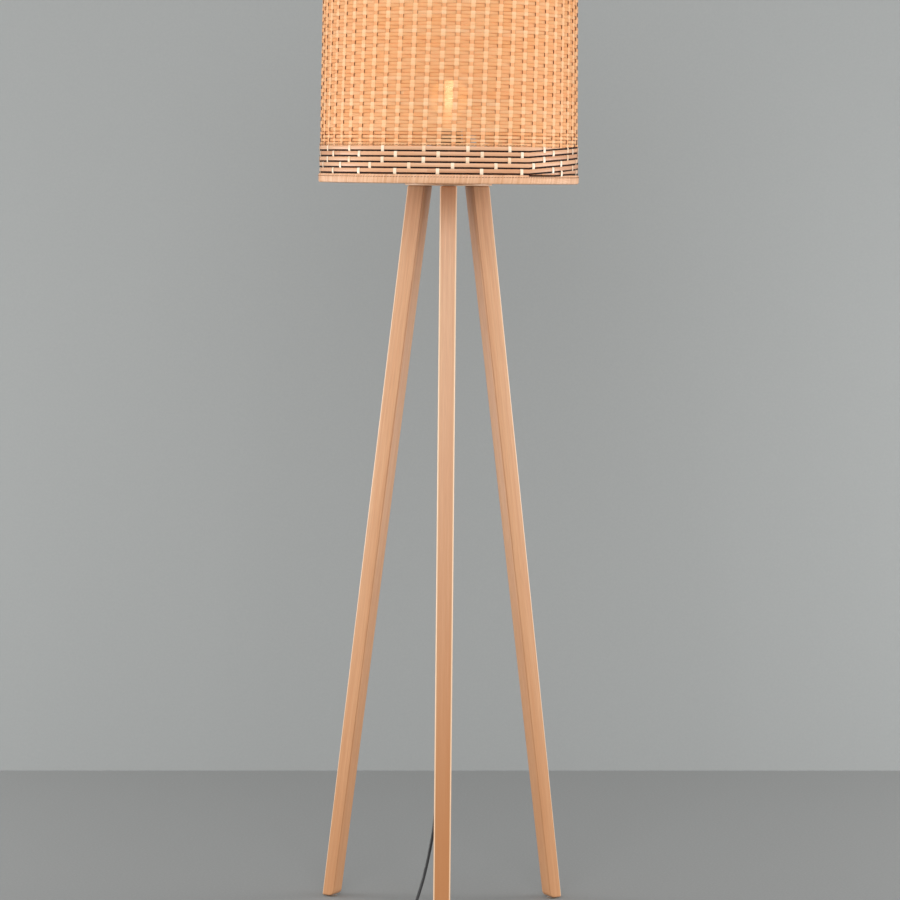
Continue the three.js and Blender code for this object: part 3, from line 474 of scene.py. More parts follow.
class Tree:
    """A geometry node tree with named inputs, run once on a mesh and then dropped."""

    def __init__(self, name: str, lengths: str, shares: str, counts: str) -> None:
        """Makes the tree and its inputs, besides a template and a material.

        Args:
            name: the tree's name.
            lengths: the names of its inputs in millimetres.
            shares: the names of its other inputs that are numbers, such as turns and angles.
            counts: the names of its inputs that are whole numbers.
        """
        self.nodes = bpy.data.node_groups.new(name, "GeometryNodeTree")
        self.lengths = lengths.split()
        kinds = {"Geometry": "Geometry", "Material": "Material"} | dict.fromkeys(counts.split(), "Int")
        kinds |= dict.fromkeys([*self.lengths, *shares.split()], "Float")
        self.nodes.interface.new_socket("Geometry", in_out="OUTPUT", socket_type="NodeSocketGeometry")
        for key, kind in kinds.items():
            self.nodes.interface.new_socket(key, in_out="INPUT", socket_type=f"NodeSocket{kind}")
        outputs = self.nodes.nodes.new("NodeGroupInput").outputs
        self.given = {key: Given(outputs[key]) for key in kinds}

    def add(self, kind: str, *inputs: object, **settings: object) -> Given:
        """Adds a node to this tree."""
        return add(self.nodes, kind, *inputs, **settings)

    def stored(self, geometry: Given, name: str, value: Given, domain: str = "POINT") -> Given:
        """Keeps a number under a name on the geometry, for the material to read."""
        sockets = {"Name": name, "Value": value}
        return self.add("GeometryNodeStoreNamedAttribute", geometry, data_type="FLOAT", domain=domain, sockets=sockets)

    def rise(self, turns: Given, last: object) -> Given:
        """The height of a winding, which is level for a share of each turn and then climbs, steeply at first.

        Args:
            turns: how many turns it has made.
            last: the turn after which it rises no more.

        Returns:
            The height of its middle.
        """
        turns = turns.to("MINIMUM", last).to("MAXIMUM", 0.0)
        share = turns.to("FRACT").eased(self.given["Level"], 1.0, curve="LINEAR")
        return (turns.to("FLOOR") + share * (share * -0.6 + 1.6)) * self.given["Pitch"] + self.given["Start"]

    def wall(self, height: Given) -> tuple[Given, Given]:
        """How far a height is above the wall's foot, and the radius there."""
        above = height - self.given["Foot"]
        return above, self.given["Radius"] - self.given["Slope"] * above

    def over_under(self, place: Given) -> Given:
        """Over two stakes and under the third: 1 outside and -1 inside, for a place counted in stakes."""
        wave = (place * (TURN / 3)).to("COSINE") * (-4 / 3) + 1 / 3
        return wave.to("MINIMUM", 1.0).to("MAXIMUM", -1.0)

    def put(self, geometry: Given, radius: Given, angle: Given, height: Given) -> tuple[Given, Given]:
        """Moves points to where radius, angle and height say.

        Args:
            geometry: what has the points.
            radius: each one's distance from the axis.
            angle: its angle round the axis.
            height: its height.

        Returns:
            The geometry, and the direction outwards at each point.
        """
        cosine, sine = angle.to("COSINE"), angle.to("SINE")
        place = self.add("ShaderNodeCombineXYZ", radius * cosine, radius * sine, height)
        outwards = self.add("ShaderNodeCombineXYZ", cosine, sine, 0.0)
        return self.add("GeometryNodeSetPosition", geometry, sockets={"Position": place}), outwards

    def swept(self, curve: Given, outwards: Given, corners: int = 6, share: object = 1.0) -> "Tree":
        """Ends the tree with a strand along a curve, as wide as Width and as thick as Thickness.

        Args:
            curve: what it follows.
            outwards: the direction that its face looks in.
            corners: 6 for a strand that is thinner towards its edges, 4 for one with square edges.
            share: how much of its full size it has at each point.

        Returns:
            The tree.
        """
        facing = self.add("GeometryNodeSetCurveNormal", curve, mode="FREE", sockets={"Normal": outwards})
        section = self.add("GeometryNodeCurvePrimitiveCircle", corners, sockets={"Radius": 1.0})
        turned = self.add("GeometryNodeTransform", section, sockets={"Rotation": (0, 0, math.pi / corners)})
        thick = self.given["Thickness"] * (0.5 / math.cos(math.pi / corners))
        wide = self.given["Width"] * (0.5 if corners == 6 else 0.5 / math.sin(math.pi / corners))
        size = self.add("ShaderNodeCombineXYZ", thick, wide, 1.0)
        sized = self.add("GeometryNodeTransform", turned, sockets={"Scale": size})
        across = self.add("ShaderNodeSeparateXYZ", self.add("GeometryNodeInputPosition"))[1]
        profile = self.stored(sized, "across", across)
        sockets = {"Scale": share, "Fill Caps": True}
        return self.ends(self.add("GeometryNodeCurveToMesh", facing, profile, sockets=sockets))

    def copied(self, points: Given, angle: Given) -> "Tree":
        """Ends the tree with a copy of the template at each point, with its own tone.

        Args:
            points: where the copies go.
            angle: how far each is turned about the vertical.

        Returns:
            The tree.
        """
        turn = self.add("FunctionNodeEulerToRotation", self.add("ShaderNodeCombineXYZ", 0.0, 0.0, angle))
        sockets = {"Instance": self.given["Geometry"], "Rotation": turn}
        copies = self.add("GeometryNodeInstanceOnPoints", points, sockets=sockets)
        tone = self.add("FunctionNodeRandomValue", data_type="FLOAT", sockets={"Seed": self.given["Seed"]})[1]
        return self.ends(self.stored(copies, "tone", tone, "INSTANCE"))

    def ends(self, geometry: Given) -> "Tree":
        """Ends the tree: instances made real, and the material set.

        Args:
            geometry: what the tree gives.

        Returns:
            The tree.
        """
        real = self.add("GeometryNodeRealizeInstances", geometry)
        dressed = self.add("GeometryNodeSetMaterial", real, sockets={"Material": self.given["Material"]})
        fill(self.nodes.nodes.new("NodeGroupOutput"), 0, dressed)
        return self

    def run(self, name: str, values: dict[str, object], template: Form | None = None) -> Piece:
        """Runs the tree.

        Args:
            name: the new piece's name.
            values: a value for each named input. One that is left out is 0.
            template: what the tree copies, where it copies something.

        Returns:
            The piece, as an object with a plain mesh.
        """
        source = (template or Form()).object(name + ".source")
        modifier = source.modifiers.new("Made", "NODES")
        modifier.node_group = self.nodes
        for item in self.nodes.interface.items_tree:
            if item.in_out == "INPUT" and item.name in values:
                value = values[item.name]
                if item.socket_type == "NodeSocketFloat":
                    value = value * MM if item.name in self.lengths else float(value)
                modifier[item.identifier] = value
        return baked(source, name)


def early(turns: Given) -> Given:
    """1 on the first stretch of a winding, before its first row has climbed clear of it, then 0."""
    return turns.eased(-0.115, -0.06, 1.0, 0.0)


def strand_tree() -> Tree:
    """A strand wound round the shade, row above row, in and out of the stakes.

    Returns:
        The finished tree.
    """
    tree = Tree(
        "Wound strand",
        "Start Pitch Foot Radius Swing Early Drop Tuck Width Thickness",
        "From Turns Last Open Level Slope First Stakes Lean Loose",
        "Steps",
    )
    g = tree.given
    line = tree.add("GeometryNodeMeshLine", sockets={"Count": g["Turns"] * g["Steps"] + 1.0})
    curve = tree.add("GeometryNodeMeshToCurve", line)
    turns = tree.add("GeometryNodeInputIndex") / g["Steps"] + g["From"]
    height = tree.rise(turns, g["Last"])
    above, radius = tree.wall(height)
    around = turns.to("FRACT") * TURN
    stake = (around - g["Lean"] * above) * (g["Stakes"] / TURN)
    radius = radius + g["Swing"] * tree.over_under(stake - turns.to("FLOOR"))
    tucked = turns.eased(g["Open"], g["Open"] + 0.04) * g["Tuck"] + early(turns) * g["Early"]
    height = height - early(turns) * g["Drop"]
    placed, outwards = tree.put(curve, radius - tucked, around + g["First"], height)
    kept = tree.stored(placed, "along", turns * (g["Radius"] * (2000 * math.pi)))
    return tree.swept(kept, outwards, share=turns.eased(3.6, 4.4, g["Loose"], 1.0))


def stake_tree() -> Tree:
    """The stakes of the shade, which lean a little and give way to the wound strand.

    Returns:
        The finished tree.
    """
    tree = Tree(
        "Stakes",
        "Bottom Top Start Pitch Foot Radius Swing Width Thickness Woven",
        "Slope First Lean",
        "Stakes Points",
    )
    g = tree.given
    line = tree.add("GeometryNodeCurvePrimitiveLine")
    fine = tree.add("GeometryNodeResampleCurve", line, sockets={"Count": g["Points"]})
    copies = tree.add("GeometryNodeDuplicateElements", fine, sockets={"Amount": g["Stakes"]}, domain="SPLINE")
    number = copies[1]
    height = tree.add("GeometryNodeSplineParameter") * (g["Top"] - g["Bottom"]) + g["Bottom"]
    above, radius = tree.wall(height)
    angle = number * (TURN / g["Stakes"]) + g["First"] + g["Lean"] * above
    wave = tree.over_under(number - (height - g["Start"]) / g["Pitch"])
    woven = height.eased(g["Woven"], g["Woven"] + g["Pitch"], curve="LINEAR")
    placed, outwards = tree.put(copies, radius - g["Swing"] * wave * woven, angle, height)
    return tree.swept(tree.stored(placed, "along", number * 977.0 + height * 1000.0), outwards, 4)


def ring_tree() -> Tree:
    """Copies of a template in a ring, with its inputs for the ring's size, start and step.

    Returns:
        The finished tree.
    """
    tree = Tree("Ring of copies", "Radius Height", "First Step", "Copies Seed")
    g = tree.given
    angle = tree.add("GeometryNodeInputIndex") * g["Step"] + g["First"]
    return tree.copied(tree.put(tree.add("GeometryNodePoints", g["Copies"]), g["Radius"], angle, g["Height"])[0], angle)


def band_tree(offsets: tuple[int, ...]) -> Tree:
    """The pale ends of the stakes that come out over the band, one stake in three of each row.

    Args:
        offsets: where each row's first one stands, counted in stakes. The first row is the strand's start, which
            shows only below the climb.

    Returns:
        The finished tree.
    """
    tree = Tree(
        "Stakes over the band", "Start Pitch Foot Radius Early Drop", "Level ClimbEnd Slope First Lean", "Stakes Seed"
    )
    g = tree.given
    per_row = (g["Stakes"] / 3.0).to("FLOOR")
    points = tree.add("GeometryNodePoints", per_row * float(len(offsets)))
    index = tree.add("GeometryNodeInputIndex")
    row = (index / per_row).to("FLOOR")
    first = tree.add("GeometryNodeIndexSwitch", data_type="FLOAT", sockets={"Index": row})
    for _ in offsets[2:]:
        first.socket.node.index_switch_items.new()
    for i, offset in enumerate(offsets):
        fill(first.socket.node, i + 1, offset)
    stake = index.to("MODULO", per_row) * 3.0 + first
    angle = stake * (TURN / g["Stakes"]) + g["First"]
    turns = row + ((angle - g["ClimbEnd"]) / TURN).to("FRACT") - 1.0
    height = tree.rise(turns, g["Level"] + float(len(offsets) - 2))
    above, radius = tree.wall(height)
    radius = radius - early(turns) * g["Early"]
    moved, _ = tree.put(points, radius, g["Lean"] * above + angle, height - early(turns) * g["Drop"])
    hidden = tree.add("FunctionNodeCompare", turns, g["Level"] - 0.99, operation="LESS_THAN")
    placed = tree.add("GeometryNodeDeleteGeometry", moved, hidden, domain="POINT")
    # Its own place turns each one: the count has changed where hidden ones are gone.
    x, y, _ = tree.add("ShaderNodeSeparateXYZ", tree.add("GeometryNodeInputPosition"))
    return tree.copied(placed, y.to("ARCTAN2", x))


# Finishes


@dataclass(frozen=True)
class Finish:
    """What every finish has: its name, its base colour, and its gloss."""

    name: str
    colour: str
    roughness: float = 0.5

    def pattern(self, tree: NodeTree) -> dict[str, object]:
        """What goes in the main shader's inputs, besides a plain colour and roughness."""
        return {}

    def skin(self, shader: Given) -> Given:
        """What the main shader is mixed with: nothing, on most finishes."""
        return shader

    def uneven(self, tree: NodeTree, grain: float, detail: float, spread: float) -> tuple[Given, Given]:
        """Soft noise on the piece's own place, and a roughness that follows it.

        Args:
            tree: the material's tree.
            grain: how coarse the noise is, in millimetres.
            detail: how many finer layers it has.
            spread: the share that the roughness goes up and down by.

        Returns:
            The noise and the roughness.
        """
        place = add(tree, "ShaderNodeTexCoord")["Object"]
        noise = add(tree, "ShaderNodeTexNoise", place, sockets={"Scale": 1 / (grain * MM), "Detail": detail})
        low, high = self.roughness * (1 - spread), min(1, self.roughness * (1 + spread))
        return noise, noise.eased(0.3, 0.7, low, high, curve="LINEAR")

    def material(self) -> Material:
        """Builds the material: the main shader with the pattern in its inputs, and the skin over it.

        Returns:
            The material.
        """
        made = bpy.data.materials.new(self.name)
        made.use_nodes = True
        tree = made.node_tree
        shader = tree.nodes["Principled BSDF"]
        plain = {"Base Color": linear(self.colour), "Roughness": self.roughness}
        for key, value in [*plain.items(), *self.pattern(tree).items()]:
            fill(shader, key, value)
        fill(tree.nodes["Material Output"], 0, self.skin(Given(shader.outputs[0])))
        return made


@dataclass(frozen=True)
class SplitRattan(Finish):
    """Split rattan or its peel in strands: fibres run along it, each length has its own tone, light comes through."""

    dark: str = "#DFA677"
    pale: str = "#FFD9AE"
    through: str = "#F0A050"
    lets_through: float = 0.12
    shine: float = 0.5
    tone_length: float = 900.0
    copied: bool = False
    edge_from: float = 0.0
    # The colour of its cut edges: partly their own, partly painted shade.
    edge: str = "#5A3018"

    def toned(self, colour: Given, along: Given, across: Given) -> Given:
        """Darkens the cut edges of a strand, which start edge_from millimetres from its middle: partly the rattan's own
        darker cut edge, partly painted shade.

        Args:
            colour: the colour of its face.
            along: not used.
            across: the distance from its middle in metres.

        Returns:
            The final colour.
        """
        if not self.edge_from:
            return colour
        side = across.to("ABSOLUTE").eased(self.edge_from * MM, (self.edge_from + 0.15) * MM)
        return colour.under(side, self.edge)

    def pattern(self, tree: NodeTree) -> dict[str, object]:
        """Reads the strand's own "along" and "across", and "tone" where it is copied.

        Args:
            tree: the material's tree.

        Returns:
            What goes in the main shader's inputs.
        """
        along, across = (add(tree, "ShaderNodeAttribute", attribute_name=key)["Fac"] for key in ("along", "across"))
        if self.copied:
            tone = add(tree, "ShaderNodeAttribute", attribute_name="tone")["Fac"]
        else:
            length = (along / self.tone_length).to("FLOOR")
            tone = add(tree, "ShaderNodeTexWhiteNoise", None, length, noise_dimensions="1D")
        # Fibre bundles about 1 mm wide and 40 mm long: the real 0.3 mm ones are finer than the render shows.
        fibre = add(tree, "ShaderNodeCombineXYZ", along * 0.025, across * 1000.0, tone * 60.0)
        streaks = add(tree, "ShaderNodeTexNoise", fibre, sockets={"Scale": 1.0, "Detail": 3.0})
        stops = [(0.22, self.dark), (0.5, self.colour), (0.85, self.pale)]
        face = add(tree, "ShaderNodeValToRGB", streaks * 0.55 + tone * 0.45, stops=stops)
        return {
            "Base Color": self.toned(face, along, across),
            "Normal": streaks.raised(0.12),
            "Specular IOR Level": self.shine,
        }

    def skin(self, shader: Given) -> Given:
        """Lets light through, in the strand's own warm colour."""
        glow = add(shader.tree, "ShaderNodeBsdfTranslucent", linear(self.through))
        return add(shader.tree, "ShaderNodeMixShader", self.lets_through, shader, glow)


@dataclass(frozen=True, kw_only=True)
class WovenRattan(SplitRattan):
    """The woven strand, with painted light: paler on a stake, a painted glow in deeper orange between stakes where
    light comes through, and painted shade at its edges and where it dives.
    """

    stakes: int
    first: float
    lean: float
    foot: float
    turn: float
    start: int
    half_stake: float
    half_strand: float
    sees_through: float = 0.34
    # Painted light: a paler tone on a stake, and a painted glow in deeper orange between stakes.
    on_stake: str = "#FFC998"
    between: str = "#FBB66E"
    gap_shade: str = "#C4783E"
    dive_shade: str = "#5E2E14"

    def place(self, tree: NodeTree) -> Given:
        """Where a point is round the shade, counted in stakes.

        Args:
            tree: the material's tree.

        Returns:
            The place, with a whole number on each stake.
        """
        x, y, z = add(tree, "ShaderNodeSeparateXYZ", add(tree, "ShaderNodeTexCoord")["Object"])
        shift = z * (self.lean / MM) + (self.first - self.lean * self.foot)
        return y.to("ARCTAN2", x) * (self.stakes / TURN) - shift * (self.stakes / 360)

    def bay(self, place: Given) -> Given:
        """1 between two stakes and 0 on a stake."""
        near = ((place + 0.5).to("FRACT") - 0.5).to("ABSOLUTE")
        return near.eased(self.half_stake - 0.015, self.half_stake + 0.035)

    def toned(self, colour: Given, along: Given, across: Given) -> Given:
        """Tones the strand by where it is among the stakes, with a painted glow between them and painted shade at its
        edges and where it dives.

        Args:
            colour: the colour of its face.
            along: the distance along the strand in millimetres.
            across: the distance from its middle in metres.

        Returns:
            The final colour.
        """
        place = self.place(colour.tree)
        bay, cell = self.bay(place), place.to("FLOOR")
        row = (along / self.turn).to("FLOOR")
        spots = [(cell, row, 0.0), (cell, ((row - cell) / 3.0).to("FLOOR"), 1.0)]
        places = (add(place.tree, "ShaderNodeCombineXYZ", *spot) for spot in spots)
        one, step = (add(place.tree, "ShaderNodeTexWhiteNoise", spot, noise_dimensions="3D") for spot in places)
        # Painted light: paler over a stake, which blocks the glow from inside, and a painted glow in deeper orange
        # between stakes, stronger in some cells.
        colour = colour.under(bay * -0.22 + 0.22, self.on_stake)
        colour = colour.under((step * 0.3 + one * 0.15) * bay, self.between)
        side = across.to("ABSOLUTE").eased(self.half_strand * 0.66 * MM, self.half_strand * 0.96 * MM)
        # Painted shade along the strand's edges between stakes, where the rows meet.
        colour = colour.under(side * bay * (one * 0.6 + 0.08), self.gap_shade)
        # Painted shade where the strand dives under a stake.
        crossing = place - float(self.start) - row
        under = (crossing * (TURN / 3)).to("COSINE").eased(0.9, 0.93)
        return colour.under(under * (side * -0.28 + 0.3), self.dive_shade)

    def skin(self, shader: Given) -> Given:
        """Also lets a little of what is behind show through between the stakes."""
        clear = add(shader.tree, "ShaderNodeBsdfTransparent", linear("#FFF4E4"))
        share = self.bay(self.place(shader.tree)) * self.sees_through
        return add(shader.tree, "ShaderNodeMixShader", share, super().skin(shader), clear)


@dataclass(frozen=True)
class LacqueredTimber(Finish):
    """Beech or rubberwood, planed and lacquered clear: fine streaks along the grain under a satin film."""

    dark: str = "#BC8257"
    pale: str = "#D7AA82"
    # The colour of the painted shade towards the feet.
    foot: str = "#B4733C"
    # A painted highlight on the outward arrises.
    arris: str = "#F4D6B4"
    # Painted shade along the inward arrises.
    inner_arris_shade: str = "#A06A3E"

    def pattern(self, tree: NodeTree) -> dict[str, object]:
        """Reads the board's own "grain", in millimetres with Z along it, and "sides", 1 at each edge.

        Args:
            tree: the material's tree.

        Returns:
            What goes in the main shader's inputs.
        """
        grain, sides = (add(tree, "ShaderNodeAttribute", attribute_name=key)["Vector"] for key in ("grain", "sides"))
        # Growth streaks about 3 mm apart and 200 mm long, with finer pores about 0.8 mm apart over them.
        wide = add(tree, "ShaderNodeMapping", grain, sockets={"Scale": (0.3, 0.3, 0.005)})
        fine = add(tree, "ShaderNodeMapping", grain, sockets={"Scale": (1.2, 1.2, 0.03)})
        pores = add(tree, "ShaderNodeTexNoise", fine, sockets={"Scale": 1.0, "Detail": 2.0})
        soft = wide.mottled(1.0, self.dark, self.pale).under(0.55, self.colour)
        darker = pores.eased(0.3, 0.75, 0.9, 1.06, curve="LINEAR")
        toned = add(tree, "ShaderNodeVectorMath", soft, operation="SCALE", sockets={"Scale": darker})
        # Painted shade: the boards turn darker and redder towards their feet, the front board most, where less light
        # reaches near the floor.
        _, deep, height = add(tree, "ShaderNodeSeparateXYZ", add(tree, "ShaderNodeTexCoord")["Object"])
        low = height.eased(1.0, 0.15, 0.0, deep.eased(-0.06, 0.0, 0.88, 0.38), curve="LINEAR")
        # A painted highlight: a pale line 2 mm wide on the outward arrises; and painted shade: a dark line along the
        # inward ones.
        u, v, _ = add(tree, "ShaderNodeSeparateXYZ", sides)
        near = u.to("ABSOLUTE").to("MINIMUM", v.to("ABSOLUTE"))
        outward = u.to("GREATER_THAN", 0.0)
        colour = toned.under(low, self.foot).under(near.eased(0.8, 0.9) * 0.7 * outward, self.arris)
        return {
            "Base Color": colour.under(near.eased(0.88, 0.94) * (outward * -0.6 + 0.6), self.inner_arris_shade),
            "Coat Weight": 0.12,
            "Coat Roughness": 0.4,
            "Normal": pores.raised(0.05),
        }


@dataclass(frozen=True)
class Moulded(Finish):
    """Moulded or extruded plastic, rubber or glaze: one colour, faintly uneven, with a fine skin."""

    grain: float = 0.8
    depth: float = 0.01
    coat: float = 0.0
    shine: float = 0.5

    def pattern(self, tree: NodeTree) -> dict[str, object]:
        """A skin as coarse as grain in millimetres, raised by depth."""
        noise, rough = self.uneven(tree, self.grain, 2.0, 0.15)
        skin = {"Roughness": rough, "Normal": noise.raised(self.depth)}
        return skin | {"Coat Weight": self.coat, "Specular IOR Level": self.shine}


@dataclass(frozen=True)
class StudioPaint(Moulded):
    """Matt paint on the studio's floor and wall: only its face shows, so that the lamp can be seen from behind."""

    def skin(self, shader: Given) -> Given:
        """Shows nothing from behind."""
        back = add(shader.tree, "ShaderNodeNewGeometry")["Backfacing"]
        return add(shader.tree, "ShaderNodeMixShader", back, shader, add(shader.tree, "ShaderNodeBsdfTransparent"))


@dataclass(frozen=True)
class Metal(Finish):
    """Plated, stamped or rolled metal: its colour comes from reflection, and marks 1.5 mm apart break the gloss."""

    def pattern(self, tree: NodeTree) -> dict[str, object]:
        """Full metal, with a roughness that its marks change."""
        return {"Metallic": 1.0, "Roughness": self.uneven(tree, 1.5, 3.0, 0.3)[1]}


@dataclass(frozen=True)
class LitOpalGlass(Finish):
    """Thin opal glass with the lamp lit inside: a milky glow, with the bright tube showing through it."""

    glow: str = "#FFD594"
    strength: float = 1.1
    clear: float = 0.82

    def pattern(self, tree: NodeTree) -> dict[str, object]:
        """A light that fades towards the neck, from 1258 to 1228 mm up."""
        height = add(tree, "ShaderNodeSeparateXYZ", add(tree, "ShaderNodeTexCoord")["Object"])[2]
        fade = height.eased(1.228, 1.258, self.strength * 0.45, self.strength, curve="LINEAR")
        return {"Emission Color": linear(self.glow), "Emission Strength": fade, "Coat Weight": 0.3}

    def skin(self, shader: Given) -> Given:
        """Shows what is inside."""
        seen = add(shader.tree, "ShaderNodeBsdfTransparent", linear("#FFF2DC"))
        return add(shader.tree, "ShaderNodeMixShader", self.clear, shader, seen)


@dataclass(frozen=True)
class LitTube(Finish):
    """A frosted tube with the light source inside: far brighter than the glass all round it."""

    strength: float = 6.2
    low: float = 1.25
    high: float = 1.299

    def pattern(self, tree: NodeTree) -> dict[str, object]:
        """A light that is weaker over the lowest 20 mm and a little weaker at the top.

        Args:
            tree: the material's tree.

        Returns:
            What goes in the main shader's inputs.
        """
        height = add(tree, "ShaderNodeSeparateXYZ", add(tree, "ShaderNodeTexCoord")["Object"])[2]
        lower = height.eased(self.low, self.low + 0.02, 0.25 * self.strength, self.strength)
        light = lower * height.eased(self.high - 0.01, self.high, 1.0, 0.75)
        return {"Emission Color": linear(self.colour), "Emission Strength": light}


@dataclass(frozen=True)
class Felt(Finish):
    """Pressed wool felt: matt, with a short fuzz and uneven fibres about 1 mm long."""

    def pattern(self, tree: NodeTree) -> dict[str, object]:
        """Mottled fibres under a fuzz."""
        fibres = add(tree, "ShaderNodeTexCoord")["Object"].mottled(900.0, "#5A4B3D", "#7D6B59")
        return {"Base Color": fibres, "Sheen Weight": 0.4}


class Finishes:
    """The lamp's materials, each made once."""

    def __init__(self, shade: "Shade") -> None:
        """Builds every finish.

        Args:
            shade: the shade, whose stakes the woven strand's tones follow.
        """
        self.weft = WovenRattan(
            "Split rattan strand, woven",
            "#FFCF9A",
            0.6,
            dark="#FCC18A",
            pale="#FFDEB2",
            shine=0.2,
            lets_through=0.2,
            stakes=shade.stakes,
            first=shade.first_stake(),
            lean=shade.lean,
            foot=shade.bottom,
            turn=TURN * (shade.radius - shade.strand_depth - shade.strand_swing),
            start=shade.start_stake,
            half_stake=shade.stake_width / 2 / (TURN * shade.radius / shade.stakes),
            half_strand=shade.strand_width / 2,
        ).material()
        # Where the stakes' dark edges start: partly their own colour, partly painted shade.
        edge = shade.stake_width / 2 - 0.16
        self.timber = LacqueredTimber("Lacquered beech, planed", "#CC9B74", 0.46).material()
        self.stake = SplitRattan(
            "Split rattan stake", "#F3AE78", 0.6, "#E8A16C", "#F9BA86", "#F0A050", 0.1, 0.2, 977.0, edge_from=edge
        ).material()
        self.strip = SplitRattan("Rattan peel strip, wide", "#E0A981", 0.45, "#D0956C", "#ECBA91").material()
        self.bars = SplitRattan(
            "Rattan peel, bent over the band", "#FFE4C4", 0.35, "#F3CDA2", "#FFF0D8", copied=True
        ).material()
        self.wrapping = SplitRattan(
            "Rattan peel wrapping", "#E8B38A", 0.5, "#DCA378", "#F4C69E", copied=True
        ).material()
        self.stitch = Moulded("Brown waxed thread, twisted", "#8A5A3C", 0.7).material()
        self.black_cane = Moulded("Cane dyed black, matt", "#22100A", 0.75, shine=0.15).material()
        self.black = Moulded("Black phenolic, moulded", "#171717", 0.38).material()
        self.flex = Moulded("Black flexible PVC, extruded", "#0F0F10", 0.42, grain=1.5).material()
        self.ceramic = Moulded("White steatite, glazed", "#E9E6DD", 0.2, coat=0.5).material()
        self.black_glass = Moulded("Black glass, pressed", "#101014", 0.12).material()
        self.stem = Moulded("Clear glass stem with filament", "#E9E6DD", 0.1).material()
        self.brown_pvc = Moulded("Brown PVC insulation", "#5D3521", 0.45).material()
        self.blue_pvc = Moulded("Blue PVC insulation", "#2B5FA8", 0.45).material()
        self.wire = Moulded("Cream powder coat on wire", "#E4BE90", 0.5, grain=0.5, depth=0.03).material()
        self.zinc = Metal("Steel, zinc plated", "#B9BCC0", 0.35).material()
        self.brass = Metal("Brass, stamped", "#C9A24E", 0.3).material()
        self.cap = Metal("Aluminium, rolled", "#C4C6C8", 0.25).material()
        self.opal = LitOpalGlass("Opal glass, lit", "#FFF1D6", 0.25).material()
        self.light_tube = LitTube("Frosted tube, lit", "#F9F1FF", 0.5).material()
        self.felt = Felt("Wool felt, pressed", "#6B5A4A", 0.95).material()


# Sub-assemblies


@dataclass
class Viewpoint:
    """The camera where the photograph was taken from, five metres away."""

    place: Place = (0.0033, -5.0, 1.175)
    tilt: float = 5.075
    swing: float = -0.033
    roll: float = 0.552
    lens: float = 128.78

    def build(self) -> None:
        """Makes the camera and hands it to the scene."""
        data = bpy.data.cameras.new("Camera")
        data.lens, data.sensor_width, data.clip_end = self.lens, 36, 60
        camera = bpy.context.scene.camera = shown("Camera", data)
        swing, tilt, roll = (
            Matrix.Rotation(math.radians(degrees), 4, axis)
            for degrees, axis in ((self.swing, "Z"), (90 - self.tilt, "X"), (self.roll, "Z"))
        )
        camera.matrix_world = Matrix.Translation(self.place) @ (swing @ tilt @ roll)


@dataclass
class FootSwitch:
    """The switch on the cord, lying on the floor behind the front leg."""

    x: float = -98.9
    y: float = -128.4
    turn: float = 225.0
    length: float = 84.0
    width: float = 34.0
    height: float = 20.0
    split: float = 9.0
    seam: float = 0.3
    crown_low: float = 1.2
    crown_high: float = 4.5
    corner_less: float = 0.4
    collar_length: float = 7.0
    collar_radius: float = 4.4
    sleeve_length: float = 24.0
    sleeve_tip: float = 3.1
    button_radius: float = 11.0
    button_top: float = 25.0

    def placed(self) -> Matrix:
        """Where the switch lies, for a shape made about its own middle."""
        return lying((self.x, self.y, 0), self.turn)

    def end(self, side: int) -> Vector:
        """Where the cord enters or leaves, in millimetres."""
        reach = self.length / 2 + self.collar_length + self.seam
        return self.placed() @ Vector((side * reach, 0, self.split))

    def shell(self, bottom: float, top: float, crown: float) -> Form:
        """One half of the housing, as rounded layers.

        Args:
            bottom: the height of its flat face.
            top: the height of its crown.
            crown: how far below the top the rounding starts.

        Returns:
            The shell.
        """
        steps = 6
        layers = [(bottom, 0.0)]
        for share in (i / steps for i in range(steps + 1)):
            layers.append((top - crown + crown * share, crown * (1 - math.sqrt(max(0, 1 - share**2)))))
        rings = []
        for height, inset in layers:
            corner = self.width / 2 - self.corner_less - inset
            outline = box_outline(self.length - 2 * inset, self.width - 2 * inset, corner)
            rings.append([(x, y, height) for x, y in outline])
        return Form(rings)

    def build(self, finishes: Finishes) -> list[Piece]:
        """Makes the housing and the button.

        Args:
            finishes: the lamp's materials.

        Returns:
            The pieces that the cord carries.
        """
        base = self.shell(-(self.split - self.seam / 2), 0, self.crown_low).moved(Matrix.Scale(-1, 4, (0, 0, 1)))
        cover = self.shell(self.split + self.seam / 2, self.height, self.crown_high)
        radius, top, low = self.button_radius, self.button_top, self.height
        crown = [(0, top), (radius - 2.5, top - 0.6), (radius - 0.6, top - 1.8), (radius, top - 3.5)]
        hollow = [(radius, low - 4), (radius - 1.5, low - 4), (radius - 1.5, low - 0.5), (0, low - 0.5)]
        button = Form.turned([*crown, *hollow], 48, loop=False)
        pieces = []
        for form, name, body, node in (
            (base, "switch_base_shell", Body.STAND, "switch_base"),
            (cover, "switch_cover_shell", Body.STAND, "switch_cover"),
            (button, "foot_button", Body.BUTTON, "switch_button"),
        ):
            made = form.moved(self.placed()).object(name, finishes.black)
            pieces.append(settle(made, body, Slot.BLACK_PLASTIC, node))
        dress(finishes.zinc, "switch_spring", "switch_screw_1", "switch_screw_2")
        dress(finishes.brass, "switch_contact")
        return pieces


